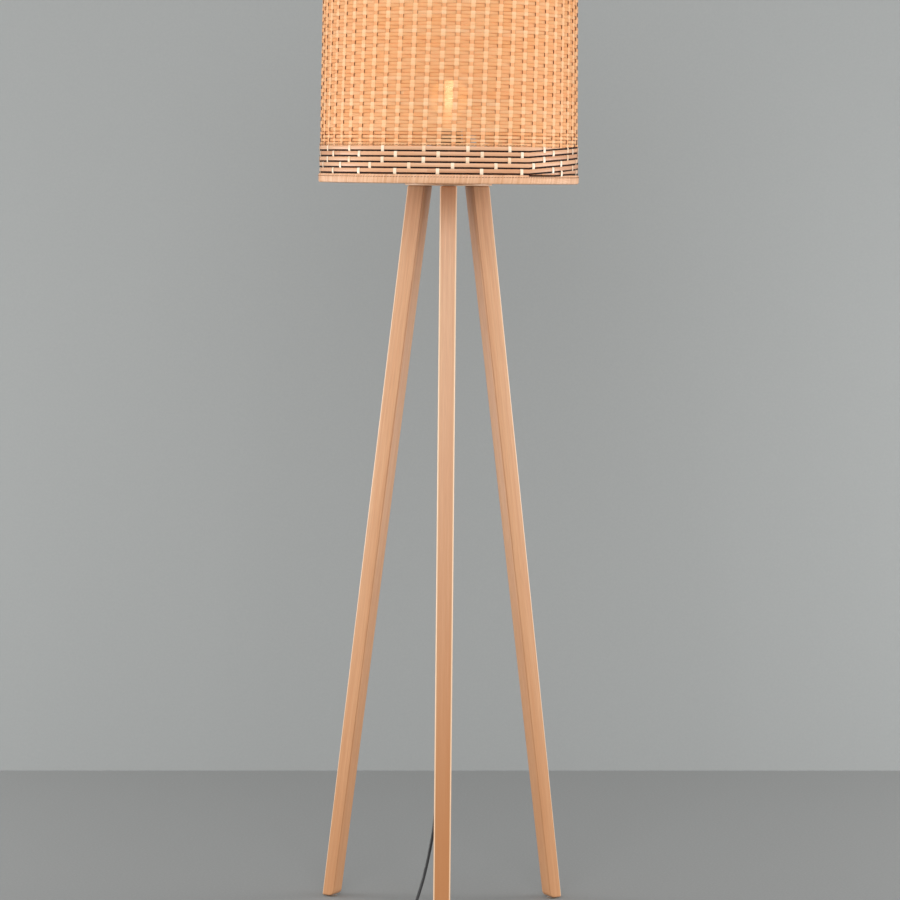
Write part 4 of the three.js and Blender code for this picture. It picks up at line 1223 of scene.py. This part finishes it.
@dataclass
class Plug:
    """The flat two-pin plug beside the coil."""

    x: float = -185.0
    y: float = -104.0
    z: float = 7.3
    turn: float = 40.0
    tail_radius: float = 4.2
    sleeve_length: float = 26.0
    sleeve_tip: float = 3.1

    def build(self, finishes: Finishes) -> list[Piece]:
        """Makes the body of the plug along X from the end of its tail, and finishes its pins.

        Args:
            finishes: the lamp's materials.

        Returns:
            The pieces on the end of the cord.
        """
        tail = self.tail_radius
        widening = [(0, tail, tail), (3, tail + 0.4, tail + 0.3), (7, 8.2, 5.4), (10, 12.5, 6.4), (15, 16.4, 7.0)]
        widest = [(21, 17.5, 7.0), (36, 17.2, 7.0), (42.6, 16.6, 6.8), (44, 15.4, 5.8)]
        rings = []
        for x, half_width, half_height in [*widening, *widest]:
            outline = box_outline(2 * half_width, 2 * half_height, min(half_width, half_height) * 0.92, 6)
            rings.append([(x, y, z) for y, z in outline])
        placed = Form(rings).moved(lying((self.x, self.y, self.z), self.turn))
        body = settle(placed.object("plug_moulding", finishes.flex), Body.STAND, Slot.FLEX_PVC, "plug_body")
        dress(finishes.cap, "plug_pin_1", "plug_pin_2")
        return [body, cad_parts["plug_pin_1"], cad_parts["plug_pin_2"]]


@dataclass
class Flex:
    """The black cord: it hangs from the plate to the switch, and goes on to the coil and the plug."""

    radius: float = 2.5
    grip_bottom: float = 1096.3
    coil_x: float = -189.5
    coil_y: float = -164.0
    coil_radius: float = 30.0
    coil_pitch: float = 5.5
    coil_low: float = 3.7
    coil_high: float = 9.2
    coil_loops: float = 6.5
    coil_entry: float = 315.0
    step: float = 4.0

    def drop(self, switch: FootSwitch) -> Line:
        """The middle of the hanging part, which follows the photograph where that shows it.

        Args:
            switch: the switch that it ends at.

        Returns:
            The line from the grip to the switch.
        """
        end = switch.end(-1)
        hanging = [(0, 0, self.grip_bottom), (0, 0, 1094), (0, 0, 1046), (0, -1, 900), (0, -4, 740), (-1, -8, 580)]
        leaving = [(-2, -12, 430), (-4, -16, 310), (-7.5, -19, 215), (-12.4, -23, 149), (-17.2, -27, 116)]
        seen = [(-22.9, -31.5, 87), (-29.5, -38.5, 59), (-36.5, -46.5, 36), (-42, -56, 20.5), (-47.5, -67.5, 12)]
        entering = [(-53, -78.5, 9.4), end - heading(switch.turn) * 2 * self.radius, end]
        return smooth_line([*hanging, *leaving, *seen, *entering], self.step)

    def coil(self) -> Line:
        """The middle of the coil: inwards on the floor, a climb, and outwards on top.

        Returns:
            The line.
        """
        line = []
        steps = round(40 * self.coil_loops)
        outer = self.coil_radius + self.coil_pitch * self.coil_loops / 4
        for i in range(steps + 1):
            turn = self.coil_loops * i / steps
            radius = outer - self.coil_pitch * min(turn, self.coil_loops - turn)
            share = min(1, max(0, (turn - 3) / 0.5))
            height = self.coil_low + (self.coil_high - self.coil_low) * share * share * (3 - 2 * share)
            x, y = polar(radius, math.radians(self.coil_entry) - TURN * turn)
            line.append(Vector((self.coil_x + x, self.coil_y + y, height)))
        return line

    def put_away(self, switch: FootSwitch, plug: Plug) -> Line:
        """The middle of the rest of the cord.

        Args:
            switch: the switch that it leaves.
            plug: the plug that it ends in.

        Returns:
            The line from the switch through the coil to the plug.
        """
        start, coil, straight = switch.end(1), self.coil(), 2 * self.radius
        into = heading(self.coil_entry - 90) * straight
        out = heading(self.coil_entry - 360 * self.coil_loops - 90) * straight
        end = Vector((plug.x, plug.y, plug.z)) - heading(plug.turn) * 0.3
        leaving = [start, start + heading(switch.turn) * straight, (-143, -172.5, 7.8), (-149.5, -179, 4.9)]
        ending = [(-203.5, -123, 8.9), (-195.5, -114, 7.9), end - heading(plug.turn) * straight, end]
        lead = smooth_line([*leaving, coil[0] - into, coil[0]], self.step)
        return [*lead[:-1], *coil, *smooth_line([coil[-1], coil[-1] + out, *ending], self.step)[1:]]

    def sleeve(self, name: str, line: Line, length: float, radius: float, tip: float, material: Material) -> Piece:
        """A tapered strain relief over the first stretch of a line.

        Args:
            name: the piece's name.
            line: the cord's middle, from the housing outwards.
            length: how long the sleeve is.
            radius: its radius at the housing.
            tip: its radius at its thin end.
            material: its finish.

        Returns:
            The sleeve.
        """
        kept = [place for i, place in enumerate(line) if length_of(line[: i + 1]) <= length]
        return settle(Form.tube(kept, radius, tip, 16).object(name, material), Body.STAND, Slot.BLACK_PLASTIC)

    def build(self, finishes: Finishes, switch: FootSwitch, plug: Plug) -> None:
        """Makes the cord in its two runs, with what is on it.

        Args:
            finishes: the lamp's materials.
            switch: the foot switch between the runs.
            plug: the plug at the far end.
        """
        switch_pieces = switch.build(finishes)
        plug_pieces = plug.build(finishes)
        hanging, rest = self.drop(switch), self.put_away(switch, plug)
        sizes = (switch.sleeve_length, switch.collar_radius, switch.sleeve_tip)
        entry = self.sleeve("switch_sleeve_in", hanging[::-1], *sizes, finishes.black)
        leaving = self.sleeve("switch_sleeve_out", rest, *sizes, finishes.black)
        sizes = (plug.sleeve_length, plug.tail_radius, plug.sleeve_tip)
        tail = self.sleeve("plug_sleeve", rest[::-1], *sizes, finishes.flex)
        first = Form.tube(hanging, self.radius).object("cord_hanging", finishes.flex)
        settle(first, Body.STAND, Slot.FLEX_PVC, "cord_drop")
        second = Form.tube(rest, self.radius).object("cord_put_away", finishes.flex)
        settle(second, Body.STAND, Slot.FLEX_PVC, "cord_lead", "cord_coil", "cord_tail")
        dress(finishes.black, "coil_tie")
        tuple(hanging[0] * MM)
        length_of(hanging) * MM
        [tuple(p * MM) for p in hanging]
        tuple(rest[0] * MM)
        length_of(rest) * MM
        [tuple(p * MM) for p in rest]


@dataclass
class Shade:
    """The woven drum: stakes, wound strands, the banded edge and the two wrapped rims."""

    bottom: float = 1146.0
    top: float = 1496.0
    radius: float = 200.0
    taper: float = 4.0
    stakes: int = 57
    start_stake: int = 29
    first_bar: float = 8.2
    lean: float = 0.0089
    stake_width: float = 6.4
    stake_thickness: float = 1.2
    stake_depth: float = 1.5
    stake_swing: float = 0.4
    stake_end: float = 1.8
    strand_width: float = 5.36
    strand_thickness: float = 0.6
    strand_pitch: float = 5.4
    strand_swing: float = 0.85
    strand_depth: float = 0.4
    strand_level: float = 0.9
    steps_per_stake: int = 5
    points_per_row: int = 4
    loose: float = 0.76
    binding_height: float = 13.4
    binding_proud: float = 1.2
    binding_depth: float = 9.4
    band_bottom: float = 1159.7
    band_pitch: float = 8.4
    band_rows: int = 5
    strip_width: float = 5.6
    strip_thickness: float = 0.9
    strip_depth: float = 0.5
    black_width: float = 2.5
    black_thickness: float = 1.3
    black_depth: float = 0.6
    band_gap: float = 0.1
    band_tuck: float = 0.75
    band_steps: int = 156
    start_over: float = 1.8
    start_drop: float = 2.4
    climb_end: float = 2.31
    climb_level: float = 33 / 39
    bar_offsets: tuple[int, ...] = (-1, 1, -1, 0, 1, 0)
    bar_width: float = 5.2
    bar_overlap: float = 0.6
    bar_sunk: float = 0.2
    rim_seam: float = 9.9
    rim_stitches: int = 260
    band_seam: float = 1.9
    band_stitches: int = 228
    band_stitch_proud: float = 0.1
    stitch_fill: float = 0.62
    thread_radius: float = 0.42
    wraps: int = 520
    wrap_slant: float = 2.2
    wrap_rise: float = 0.4
    wrap_fill: float = 0.49
    hoop_rise: float = 3.8
    wall: float = 2.8
    wall_gap: float = 0.3
    wire_radius: float = 2.0
    fitter_inner: float = 20.0
    fitter_outer: float = 29.5
    fitter_bottom: float = 1197.9
    fitter_top: float = 1199.4
    arm_bend: float = 43.8
    arm_heights: tuple[float, ...] = (1172.1, 1162.1, 1152.1)

    def slope(self) -> float:
        """How much the radius shrinks for each millimetre upwards."""
        return self.taper / (self.top - self.bottom)

    def radius_at(self, height: float) -> float:
        """The outer radius of the wall at a height."""
        return self.radius - self.slope() * (height - self.bottom)

    def wire_radius_at(self, height: float) -> float:
        """The radius of the middle of a wire inside the wall at a height."""
        return self.radius_at(height) - self.wall - self.wall_gap - self.wire_radius

    def band_top(self) -> float:
        """The height where the band ends."""
        return self.band_bottom + self.band_rows * self.band_pitch

    def first_stake(self) -> float:
        """The angle of the stake that shows first to the right of the front, at the foot of the wall."""
        return -90 + self.first_bar - self.lean * (self.band_top() - self.band_pitch / 2 - self.bottom)

    def common(self, depth: float, material: Material) -> dict[str, object]:
        """The inputs that the strands, stakes and bars share, for a middle at a depth inside the wall."""
        sizes = {"Foot": self.bottom, "Radius": self.radius - depth, "Slope": self.slope()}
        return sizes | {"Lean": math.radians(self.lean) / MM, "Stakes": self.stakes, "Material": material}

    def strand(self, name: str, slot: Slot, node: str, depth: float, material: Material, **inputs: float) -> None:
        """Winds one strand round the shade.

        Args:
            name: the piece's name.
            slot: its material slot.
            node: the CAD node that it stands for.
            depth: how deep its middle lies inside the wall.
            material: its finish.
            inputs: the other inputs of the tree.
        """
        never = {"Last": 1000.0, "Open": 1000.0, "Loose": 1.0}
        settle(strand_tree().run(name, never | self.common(depth, material) | inputs), Body.SHADE, slot, node)

    def weave(self, finishes: Finishes) -> None:
        """Makes the strand that is woven round the stakes, and the stakes.

        Args:
            finishes: the lamp's materials.
        """
        woven = self.top - self.binding_height - self.band_top()
        rows = round(woven / self.strand_pitch)
        back = math.radians(self.first_stake() + 360 * self.start_stake / self.stakes)
        rule = {"Start": self.band_top() + self.strand_pitch / 2, "Pitch": woven / rows, "First": back}
        self.strand(
            "woven_strands",
            Slot.RATTAN,
            "woven_wall",
            self.strand_depth + self.strand_swing,
            finishes.weft,
            Turns=rows,
            Steps=self.steps_per_stake * self.stakes,
            Loose=self.loose,
            Level=self.strand_level,
            Swing=self.strand_swing,
            Width=self.strand_width,
            Thickness=self.strand_thickness,
            **rule,
        )
        sizes = {
            "Bottom": self.bottom + self.stake_end,
            "Top": self.top - self.stake_end,
            "Swing": self.stake_swing,
            "Width": self.stake_width,
            "Thickness": self.stake_thickness,
            "Woven": self.band_top(),
            "Points": self.points_per_row * rows,
        }
        stakes = stake_tree().run("stakes", self.common(self.stake_depth, finishes.stake) | rule | sizes)
        settle(stakes, Body.SHADE, Slot.RATTAN)

    def band(self, finishes: Finishes) -> None:
        """Makes the wide strips with the thin black strands below them, and the stakes that show over them.

        Args:
            finishes: the lamp's materials.
        """
        level = self.climb_level
        rule = {"Level": level, "Pitch": self.band_pitch, "Drop": self.start_drop}
        climb = {"First": math.radians(self.climb_end), "From": level - 1, "Turns": self.band_rows + 1 - level}
        climb |= rule | {"Steps": self.band_steps, "Tuck": self.band_tuck}
        self.strand(
            "band_strips",
            Slot.RATTAN_PEEL,
            "band_strip",
            self.strip_depth,
            finishes.strip,
            Start=self.band_bottom + self.black_width + self.band_gap + self.strip_width / 2,
            Last=self.band_rows - 1 + level,
            Open=self.band_rows - 1 + level,
            Early=self.band_tuck,
            Width=self.strip_width,
            Thickness=self.strip_thickness,
            **climb,
        )
        self.strand(
            "black_strands",
            Slot.BLACK_CANE,
            "black_strand",
            self.black_depth,
            finishes.black_cane,
            Start=self.band_bottom + self.black_width / 2,
            Last=self.band_rows,
            Open=self.band_rows - 0.04,
            Early=-self.start_over,
            Width=self.black_width,
            Thickness=self.black_thickness,
            **climb,
        )
        places = {
            "ClimbEnd": math.radians(self.climb_end),
            "Start": self.band_bottom + self.band_pitch / 2,
            "First": math.radians(self.first_stake()),
            "Early": self.bar_sunk - self.start_over,
            "Seed": 3,
        }
        bar = self.bar(self.bar_width, self.band_pitch / 2 + self.bar_overlap)
        bars = band_tree(self.bar_offsets).run(
            "stakes_over_band", self.common(0.0, finishes.bars) | rule | places, bar
        )
        settle(bars, Body.SHADE, Slot.RATTAN_PEEL)

    def bar(self, width: float, reach: float) -> Form:
        """A flat strip that comes out over the band and dives back at both ends, with X outwards.

        Args:
            width: how wide it is.
            reach: its half length.

        Returns:
            The strip.
        """
        lower = [(short - reach, bulge) for short, bulge in [(0, -1.0), (0.5, -0.1), (1.2, 0.3), (reach, 0.4)]]
        section = [(0.05, -width / 2), (0.3, -width / 4), (0.3, width / 4), (0.05, width / 2), (-0.7, 0)]
        levels = [*lower, *((-z, bulge) for z, bulge in lower[-2::-1])]
        return Form([[(bulge + x, y, z) for x, y in section] for z, bulge in levels])

    def wrap(self, end: int) -> Form:
        """One turn of the wrapping round a rim, with X outwards, from the middle of the drum.

        Args:
            end: -1 for the bottom rim, 1 for the top one.

        Returns:
            The turn.
        """
        edge = self.bottom if end < 0 else self.top
        low, high = sorted((edge, edge - end * self.binding_height))
        outer = self.radius_at(edge) + self.binding_proud - self.wrap_rise
        inner = self.radius_at(edge) - self.binding_depth
        path = [Vector(p) for p in softened([(outer, low), (outer, high), (inner, high), (inner, low)], 2.6, 2)]
        middle = Vector(((outer + inner) / 2, (low + high) / 2))
        half = TURN * self.radius / self.wraps * self.wrap_fill
        rings = []
        for i, place in enumerate(path):
            ahead = (path[(i + 1) % len(path)] - path[i - 1]).normalized()
            out = Vector((ahead.y, -ahead.x))
            out = out if out.dot(place - middle) > 0 else -out
            slant = (place.y - middle.y) / (high - low) * self.wrap_slant * (1 if place.x > middle.x else -1)
            section = [(-half, 0.0), (0.0, self.wrap_rise), (half, 0.0), (0.0, -0.6)]
            rings.append([(place.x + out.x * lift, slant + side, place.y + out.y * lift) for side, lift in section])
        return Form(rings, caps=False, again=True)

    def rim(self, finishes: Finishes, end: int, name: str) -> None:
        """Makes one wrapped rim.

        Args:
            finishes: the lamp's materials.
            end: -1 for the bottom rim, 1 for the top one.
            name: what its piece's and its node's names start with.
        """
        ring = {"Step": TURN / self.wraps, "Copies": self.wraps, "Seed": 11 if end < 0 else 12}
        wrapping = ring_tree().run(f"{name}_wrapping", ring | {"Material": finishes.wrapping}, self.wrap(end))
        settle(wrapping, Body.SHADE, Slot.RATTAN_PEEL, f"{name}_binding")

    def seam(self, finishes: Finishes, name: str, height: float, proud: float, stitches: int, turn: float) -> None:
        """Makes a row of short stitches round the shade.

        Args:
            finishes: the lamp's materials.
            name: the piece's name.
            height: where they lie.
            proud: how far their middle stands from the wall.
            stitches: how many a full turn has.
            turn: the share of a full turn that has them, anticlockwise from where the strands stop climbing.
        """
        length = TURN * self.radius / stitches * self.stitch_fill
        line = [Vector((0.35 * (1 - share**2), share * length / 2, 0.25 * share)) for share in (-1, -0.5, 0, 0.5, 1)]
        ring = {
            "Radius": self.radius_at(height) + proud,
            "First": math.radians(self.climb_end),
            "Step": TURN / stitches,
            "Height": height,
            "Copies": round(stitches * turn),
            "Seed": 4,
            "Material": finishes.stitch,
        }
        row = ring_tree().run(name, ring, Form.tube(line, self.thread_radius, sides=6))
        settle(row, Body.SHADE, Slot.BLACK_CANE)

    def carrier(self, finishes: Finishes) -> None:
        """Makes the wire hoops in the rims, and the fitter with its three arms.

        Args:
            finishes: the lamp's materials.
        """
        for name, height in (("bottom_hoop", self.bottom + self.hoop_rise), ("top_hoop", self.top - self.hoop_rise)):
            wire = [polar(self.wire_radius, TURN * k / 10) for k in range(10)]
            section = [(self.wire_radius_at(height) + x, height + z) for x, z in wire]
            hoop = Form.turned(section, 120).object(f"{name}_wire", finishes.wire)
            settle(hoop, Body.SHADE, Slot.WHITE_WIRE, name)
        inner, outer, low, high = self.fitter_inner, self.fitter_outer, self.fitter_bottom, self.fitter_top
        ring = softened([(inner, low), (outer, low), (outer, high), (inner, high)], 0.5, 3)
        plate = Form.turned(ring).object("fitter_plate", finishes.wire)
        settle(plate, Body.SHADE, Slot.WHITE_WIRE, "fitter_ring")
        middle, down = (low + high) / 2, [(self.wire_radius_at(z), 0, z) for z in self.arm_heights[1:]]
        knee = (self.wire_radius_at(self.arm_heights[0]) - 9, 0, self.arm_heights[0])
        path = smooth_line([(outer - 0.5, 0, middle), (self.arm_bend, 0, middle), knee, *down], 5)
        ring = {"First": -math.pi / 2, "Step": TURN / 3, "Copies": 3, "Seed": 5, "Material": finishes.wire}
        arms = ring_tree().run("fitter_arms", ring, Form.tube(path, self.wire_radius, sides=10))
        settle(arms, Body.SHADE, Slot.WHITE_WIRE, "fitter_arm_1", "fitter_arm_2", "fitter_arm_3")

    def build(self, finishes: Finishes) -> None:
        """Makes the whole shade.

        Args:
            finishes: the lamp's materials.
        """
        self.weave(finishes)
        self.band(finishes)
        self.rim(finishes, -1, "bottom")
        self.rim(finishes, 1, "top")
        rim, band = self.bottom + self.rim_seam, self.band_top() + self.band_seam
        self.seam(finishes, "rim_stitches", rim, self.binding_proud, self.rim_stitches, 1.0)
        self.seam(finishes, "band_stitches", band, self.band_stitch_proud, self.band_stitches, self.climb_level)
        self.carrier(finishes)


@dataclass
class Stand:
    """The timber plate on three tapered boards, with their screws and pads."""

    hub_bottom: float = 1142.0
    hub_top: float = 1162.0
    hub_radius: float = 67.5
    hub_round: float = 2.2
    leg_width: float = 26.0
    leg_gap: float = 0.3
    depth_top: float = 31.0
    depth_foot: float = 21.0
    radius_top: float = 51.3
    radius_foot: float = 205.0
    foot_bottom: float = 2.3
    foot_corner: float = 9.0
    arris: float = 2.6
    angles: tuple[float, ...] = (-90.0, 150.0, 30.0)
    sides: tuple[str, ...] = ("front", "left", "right")

    def leg_radius(self, height: float) -> float:
        """The radius of a leg's middle at a height."""
        return self.radius_foot + (self.radius_top - self.radius_foot) * height / self.hub_bottom

    def leg_depth(self, height: float) -> float:
        """The depth of a leg at a height, outwards."""
        return self.depth_foot + (self.depth_top - self.depth_foot) * height / self.hub_bottom

    def edge(self, side: int, height: float) -> tuple[float, float]:
        """A point of a leg's inner edge, side -1, or its outer edge, side 1."""
        return self.leg_radius(height) + side * self.leg_depth(height) / 2, height

    def outline(self) -> Outline:
        """The side view of a leg, outwards and up, with the inner corner of its foot rounded.

        Returns:
            Its points in order.
        """
        low, high = self.foot_bottom, self.hub_bottom - self.leg_gap
        corner, start = Vector(self.edge(-1, low)), Vector(self.edge(-1, low + self.foot_corner))
        foot = bend(start, corner, corner + Vector((self.foot_corner, 0)), 8)
        return [self.edge(-1, high), *foot, self.edge(1, low), self.edge(1, high)]

    def board(self, side: str, angle: float, material: Material) -> Piece:
        """One leg with softened arrises, and its own grain coordinates.

        Args:
            side: which leg it is.
            angle: where it stands, in degrees.
            material: its finish.

        Returns:
            The leg.
        """
        rings = [[(x, y, z) for x, z in self.outline()] for y in (-self.leg_width / 2, self.leg_width / 2)]
        turn = Matrix.Rotation(math.radians(angle), 4, "Z")
        source = Form(rings).moved(turn).object(f"leg_{side}.source", material)
        bevel = source.modifiers.new("Arris", "BEVEL")
        bevel.width, bevel.segments = self.arris * MM, 4
        bevel.limit_method, bevel.angle_limit = "ANGLE", math.radians(25)
        leg = baked(source, f"leg_{side}_board")
        shade(leg.data, 60)
        places = [turn.inverted() @ (v.co / MM) for v in leg.data.vertices]
        offset = 137.0 * (self.sides.index(side) + 1)
        middles = [(p.x - self.leg_radius(p.z), p.y, p.z) for p in places]
        keep(leg, "grain", [(x + offset, y + offset, z + 3 * offset) for x, y, z in middles])
        keep(leg, "sides", [(x * 2 / self.leg_depth(z), y * 2 / self.leg_width, 0) for x, y, z in middles])
        return leg

    def build(self, finishes: Finishes) -> None:
        """Makes the plate and the legs, and dresses what is carried over.

        Args:
            finishes: the lamp's materials.
        """
        low, high, radius = self.hub_bottom, self.hub_top, self.hub_radius
        edge = softened([(0, low), (radius, low), (radius, high), (0, high)], self.hub_round, loop=False)
        hub = Form.turned(edge, 128, loop=False).object("hub_board", finishes.timber)
        places = [v.co / MM for v in hub.data.vertices]
        keep(hub, "grain", [(p.z, p.y, p.x) for p in places])
        keep(hub, "sides", [(math.hypot(p.x, p.y) / radius, (p.z - low) * 2 / (high - low) - 1, 0) for p in places])
        settle(hub, Body.STAND, Slot.TIMBER, "hub_plate")
        for side, angle in zip(self.sides, self.angles):
            settle(self.board(side, angle, finishes.timber), Body.STAND, Slot.TIMBER, f"leg_{side}")
            dress(finishes.felt, f"felt_pad_{side}")
            dress(finishes.zinc, f"leg_screw_{side}_1", f"leg_screw_{side}_2")
        dress(finishes.zinc, "threaded_tube", "tube_washer", "tube_nut")
        dress(finishes.black, "cord_grip")
        dress(finishes.flex, "cord_in_tube")
        dress(finishes.brown_pvc, "lead_live")
        dress(finishes.blue_pvc, "lead_neutral")


@dataclass
class Holder:
    """The black screw holder on the plate, with its ring nut and the parts inside."""

    foot: float = 1162.3
    cap_top: float = 1186.3
    shell_bottom: float = 1186.6
    collar: float = 1194.6
    thread: float = 1199.7
    thread_end: float = 1211.7
    lip: float = 1227.0
    bore: float = 15.0
    radius: float = 18.6
    nut_height: float = 7.0
    nut_radius: float = 27.0
    nut_bore: float = 20.1
    grips: int = 24

    def build(self, finishes: Finishes) -> None:
        """Makes the smooth outside and dresses what is inside.

        Args:
            finishes: the lamp's materials.
        """
        foot, top, thread, wall = self.foot, self.cap_top, self.thread, self.radius
        outside = [(5.4, foot), (13, foot), (19.5, foot + 10), (19.5, top)]
        inside = [(17, top), (17, foot + 10.5), (10.5, foot + 2.5), (5.4, foot + 2.5)]
        collar = [(wall, self.collar), (25, self.collar), (25, self.collar + 3), (wall, self.collar + 3)]
        crests = []
        for start in (thread + 4 * i for i in range(3)):
            crests += [(wall, start), (19.3, start + 1.2), (19.5, start + 2), (19.3, start + 2.8)]
        mouth = [(wall, self.thread_end), (wall, self.lip - 0.6), (18.0, self.lip), (15.6, self.lip)]
        low = self.shell_bottom
        socket = [(self.bore, self.lip - 0.6), (self.bore, low + 2.4), (12.6, low + 2.4)]
        ring, rim = [(self.nut_bore, thread)], thread + self.nut_height
        for z, edge in ((thread, 0.7), (thread + 0.8, 0.0), (rim - 0.8, 0.0), (rim, 0.7)):
            ring.append((self.nut_radius - edge, z))
        for profile, name, node in (
            (softened([*outside, *inside], 1.2, 3), "holder_cap_shell", "holder_cap"),
            ([(12.6, low), (wall, low), *collar, *crests, *mouth, *socket], "holder_body", "holder_shell"),
        ):
            made = Form.turned(profile, 72).object(name, finishes.black)
            settle(made, Body.STAND, Slot.BLACK_PLASTIC, node)
        nut = Form.turned([*ring, (self.nut_bore, rim)]).object("ring_nut_body", finishes.black)
        for vertex in nut.data.vertices:
            radius = math.hypot(vertex.co.x, vertex.co.y)
            if radius > (self.nut_radius - 1.5) * MM:
                dip = 0.6 * MM * max(0, math.cos(self.grips * math.atan2(vertex.co.y, vertex.co.x)))
                vertex.co.xy *= (radius - dip) / radius
        settle(nut, Body.RING_NUT, Slot.BLACK_PLASTIC, "shade_ring_nut")
        dress(finishes.ceramic, "contact_carrier")
        dress(finishes.brass, "terminal_screw_live", "terminal_screw_neutral", "centre_contact", "screw_sleeve")


@dataclass
class Bulb:
    """The milky bulb, lit by a bright frosted tube on its stem."""

    top: float = 1306.4
    ball: float = 30.0
    glass: float = 1.2
    neck: float = 13.2
    neck_bottom: float = 1229.3
    stem_foot: float = 11.7
    stem_radius: float = 3.5
    stem_height: float = 40.0
    tube_radius: float = 7.0
    tube_low: float = 1238.0
    tube_high: float = 1303.5

    def wall(self, inset: float) -> Outline:
        """Radius and height of the glass, from the neck to the top.

        Args:
            inset: how far it lies inside the bulb's outside.

        Returns:
            Its points in order.
        """
        centre, ball = self.top - self.ball, self.ball - inset
        lowest = -math.pi / 4
        across, up = polar(ball, lowest)
        start, end = Vector((self.neck - inset, self.neck_bottom)), Vector((across, centre + up))
        reach = (end.y - start.y) * 0.45
        a, b = start + Vector((0, reach)), end - Vector(polar(1, -lowest)) * reach
        points = []
        for t in (i / 6 for i in range(7)):
            points.append(tuple(start * (1 - t) ** 3 + a * 3 * t * (1 - t) ** 2 + b * 3 * t**2 * (1 - t) + end * t**3))
        for i in range(1, 21):
            across, up = polar(ball, lowest + (math.pi / 2 - lowest) * i / 20)
            points.append((across if i < 20 else 0.0, centre + up))
        return points

    def build(self, finishes: Finishes) -> None:
        """Makes the glass and dresses the cap, the tip and the stem.

        Args:
            finishes: the lamp's materials.
        """
        globe = Form.turned([*self.wall(0)[::-1], *self.wall(self.glass)], 64, loop=False)
        settle(globe.object("opal_globe", finishes.opal), Body.BULB, Slot.OPAL_GLASS, "bulb_globe")
        low, high, foot, thin = self.neck_bottom, self.neck_bottom + self.stem_height, self.stem_foot, self.stem_radius
        stem = softened([(0, low), (foot, low), (thin, low + foot - thin), (thin, high), (0, high)], 3, 3, loop=False)
        glass = Form.turned(stem, 32, loop=False).object("bulb_stem_glass", finishes.stem)
        settle(glass, Body.BULB, Slot.STEM_GLASS, "bulb_stem")
        low, high, wide = self.tube_low, self.tube_high, self.tube_radius
        tube = softened([(0, low), (wide, low), (wide, high), (0, high)], wide, 6, loop=False)
        lit = Form.turned(tube, 32, loop=False).object("bulb_light", finishes.light_tube)
        settle(lit, Body.BULB, Slot.STEM_GLASS)
        dress(finishes.cap, "bulb_cap", "bulb_tip")
        dress(finishes.black_glass, "bulb_insulator")


@dataclass
class Studio:
    """A grey floor and wall, a pale world and three soft lamps."""

    floor: str = "#848584"
    wall: str = "#949695"
    world: str = "#F4F5F6"
    light: float = 1.1
    far: float = 14.0
    depth: float = 1.182
    slant: float = 0.05
    lamps: tuple[tuple[str, Place, Place, float, float], ...] = (
        ("Front", (-0.2, -3.9, 2.2), (0, 0, 1.0), 2.6, 84),
        ("Left", (-2.7, 0.4, 0.6), (0, 0, 0.3), 1.0, 44),
        ("Right", (2.7, 0.4, 0.6), (0, 0, 0.3), 1.0, 44),
    )

    def surface(self, name: str, colour: str, corners: list[Place]) -> None:
        """One flat surface of the studio.

        Args:
            name: its name.
            colour: its paint.
            corners: its four corners in metres.
        """
        mesh = bpy.data.meshes.new(name)
        mesh.from_pydata(corners, [], [(0, 1, 2, 3)])
        mesh.materials.append(StudioPaint(name + " paint", colour, 0.9, grain=4.0, depth=0.0).material())
        shown(name, mesh)

    def lamp(self, name: str, place: Place, target: Place, size: float, watts: float) -> None:
        """One square soft lamp that faces a target.

        Args:
            name: its name.
            place: where it stands, in metres.
            target: what it faces.
            size: its side.
            watts: its power.
        """
        data = bpy.data.lights.new(name, "AREA")
        data.size, data.energy = size, watts
        lamp = shown(name, data)
        lamp.location = place
        lamp.rotation_euler = (Vector(target) - Vector(place)).to_track_quat("-Z", "Y").to_euler()

    def build(self) -> None:
        """Makes the studio."""
        far, rise = self.far, self.far * self.slant
        left, right = (-far, self.depth - rise), (far, self.depth + rise)
        self.surface("Floor", self.floor, [(-far, -far, 0), (far, -far, 0), (far, far, 0), (-far, far, 0)])
        self.surface("Wall", self.wall, [(*left, 0), (*right, 0), (*right, far), (*left, far)])
        world = bpy.context.scene.world = bpy.data.worlds.new("Studio")
        world.use_nodes = True
        background = world.node_tree.nodes["Background"]
        fill(background, 0, linear(self.world))
        fill(background, 1, self.light)
        for lamp in self.lamps:
            self.lamp(*lamp)


def main() -> None:
    """Builds the lamp and its studio in order."""
    bpy.context.scene.view_settings.view_transform = "Standard"
    Viewpoint().build()
    shade_parts = Shade()
    finishes = Finishes(shade_parts)
    Flex().build(finishes, FootSwitch(), Plug())
    for assembly in (shade_parts, Stand(), Holder(), Bulb()):
        assembly.build(finishes)
    Studio().build()


if __name__ == "__main__":
    logging.basicConfig(level=logging.INFO, format="%(message)s")
    main()
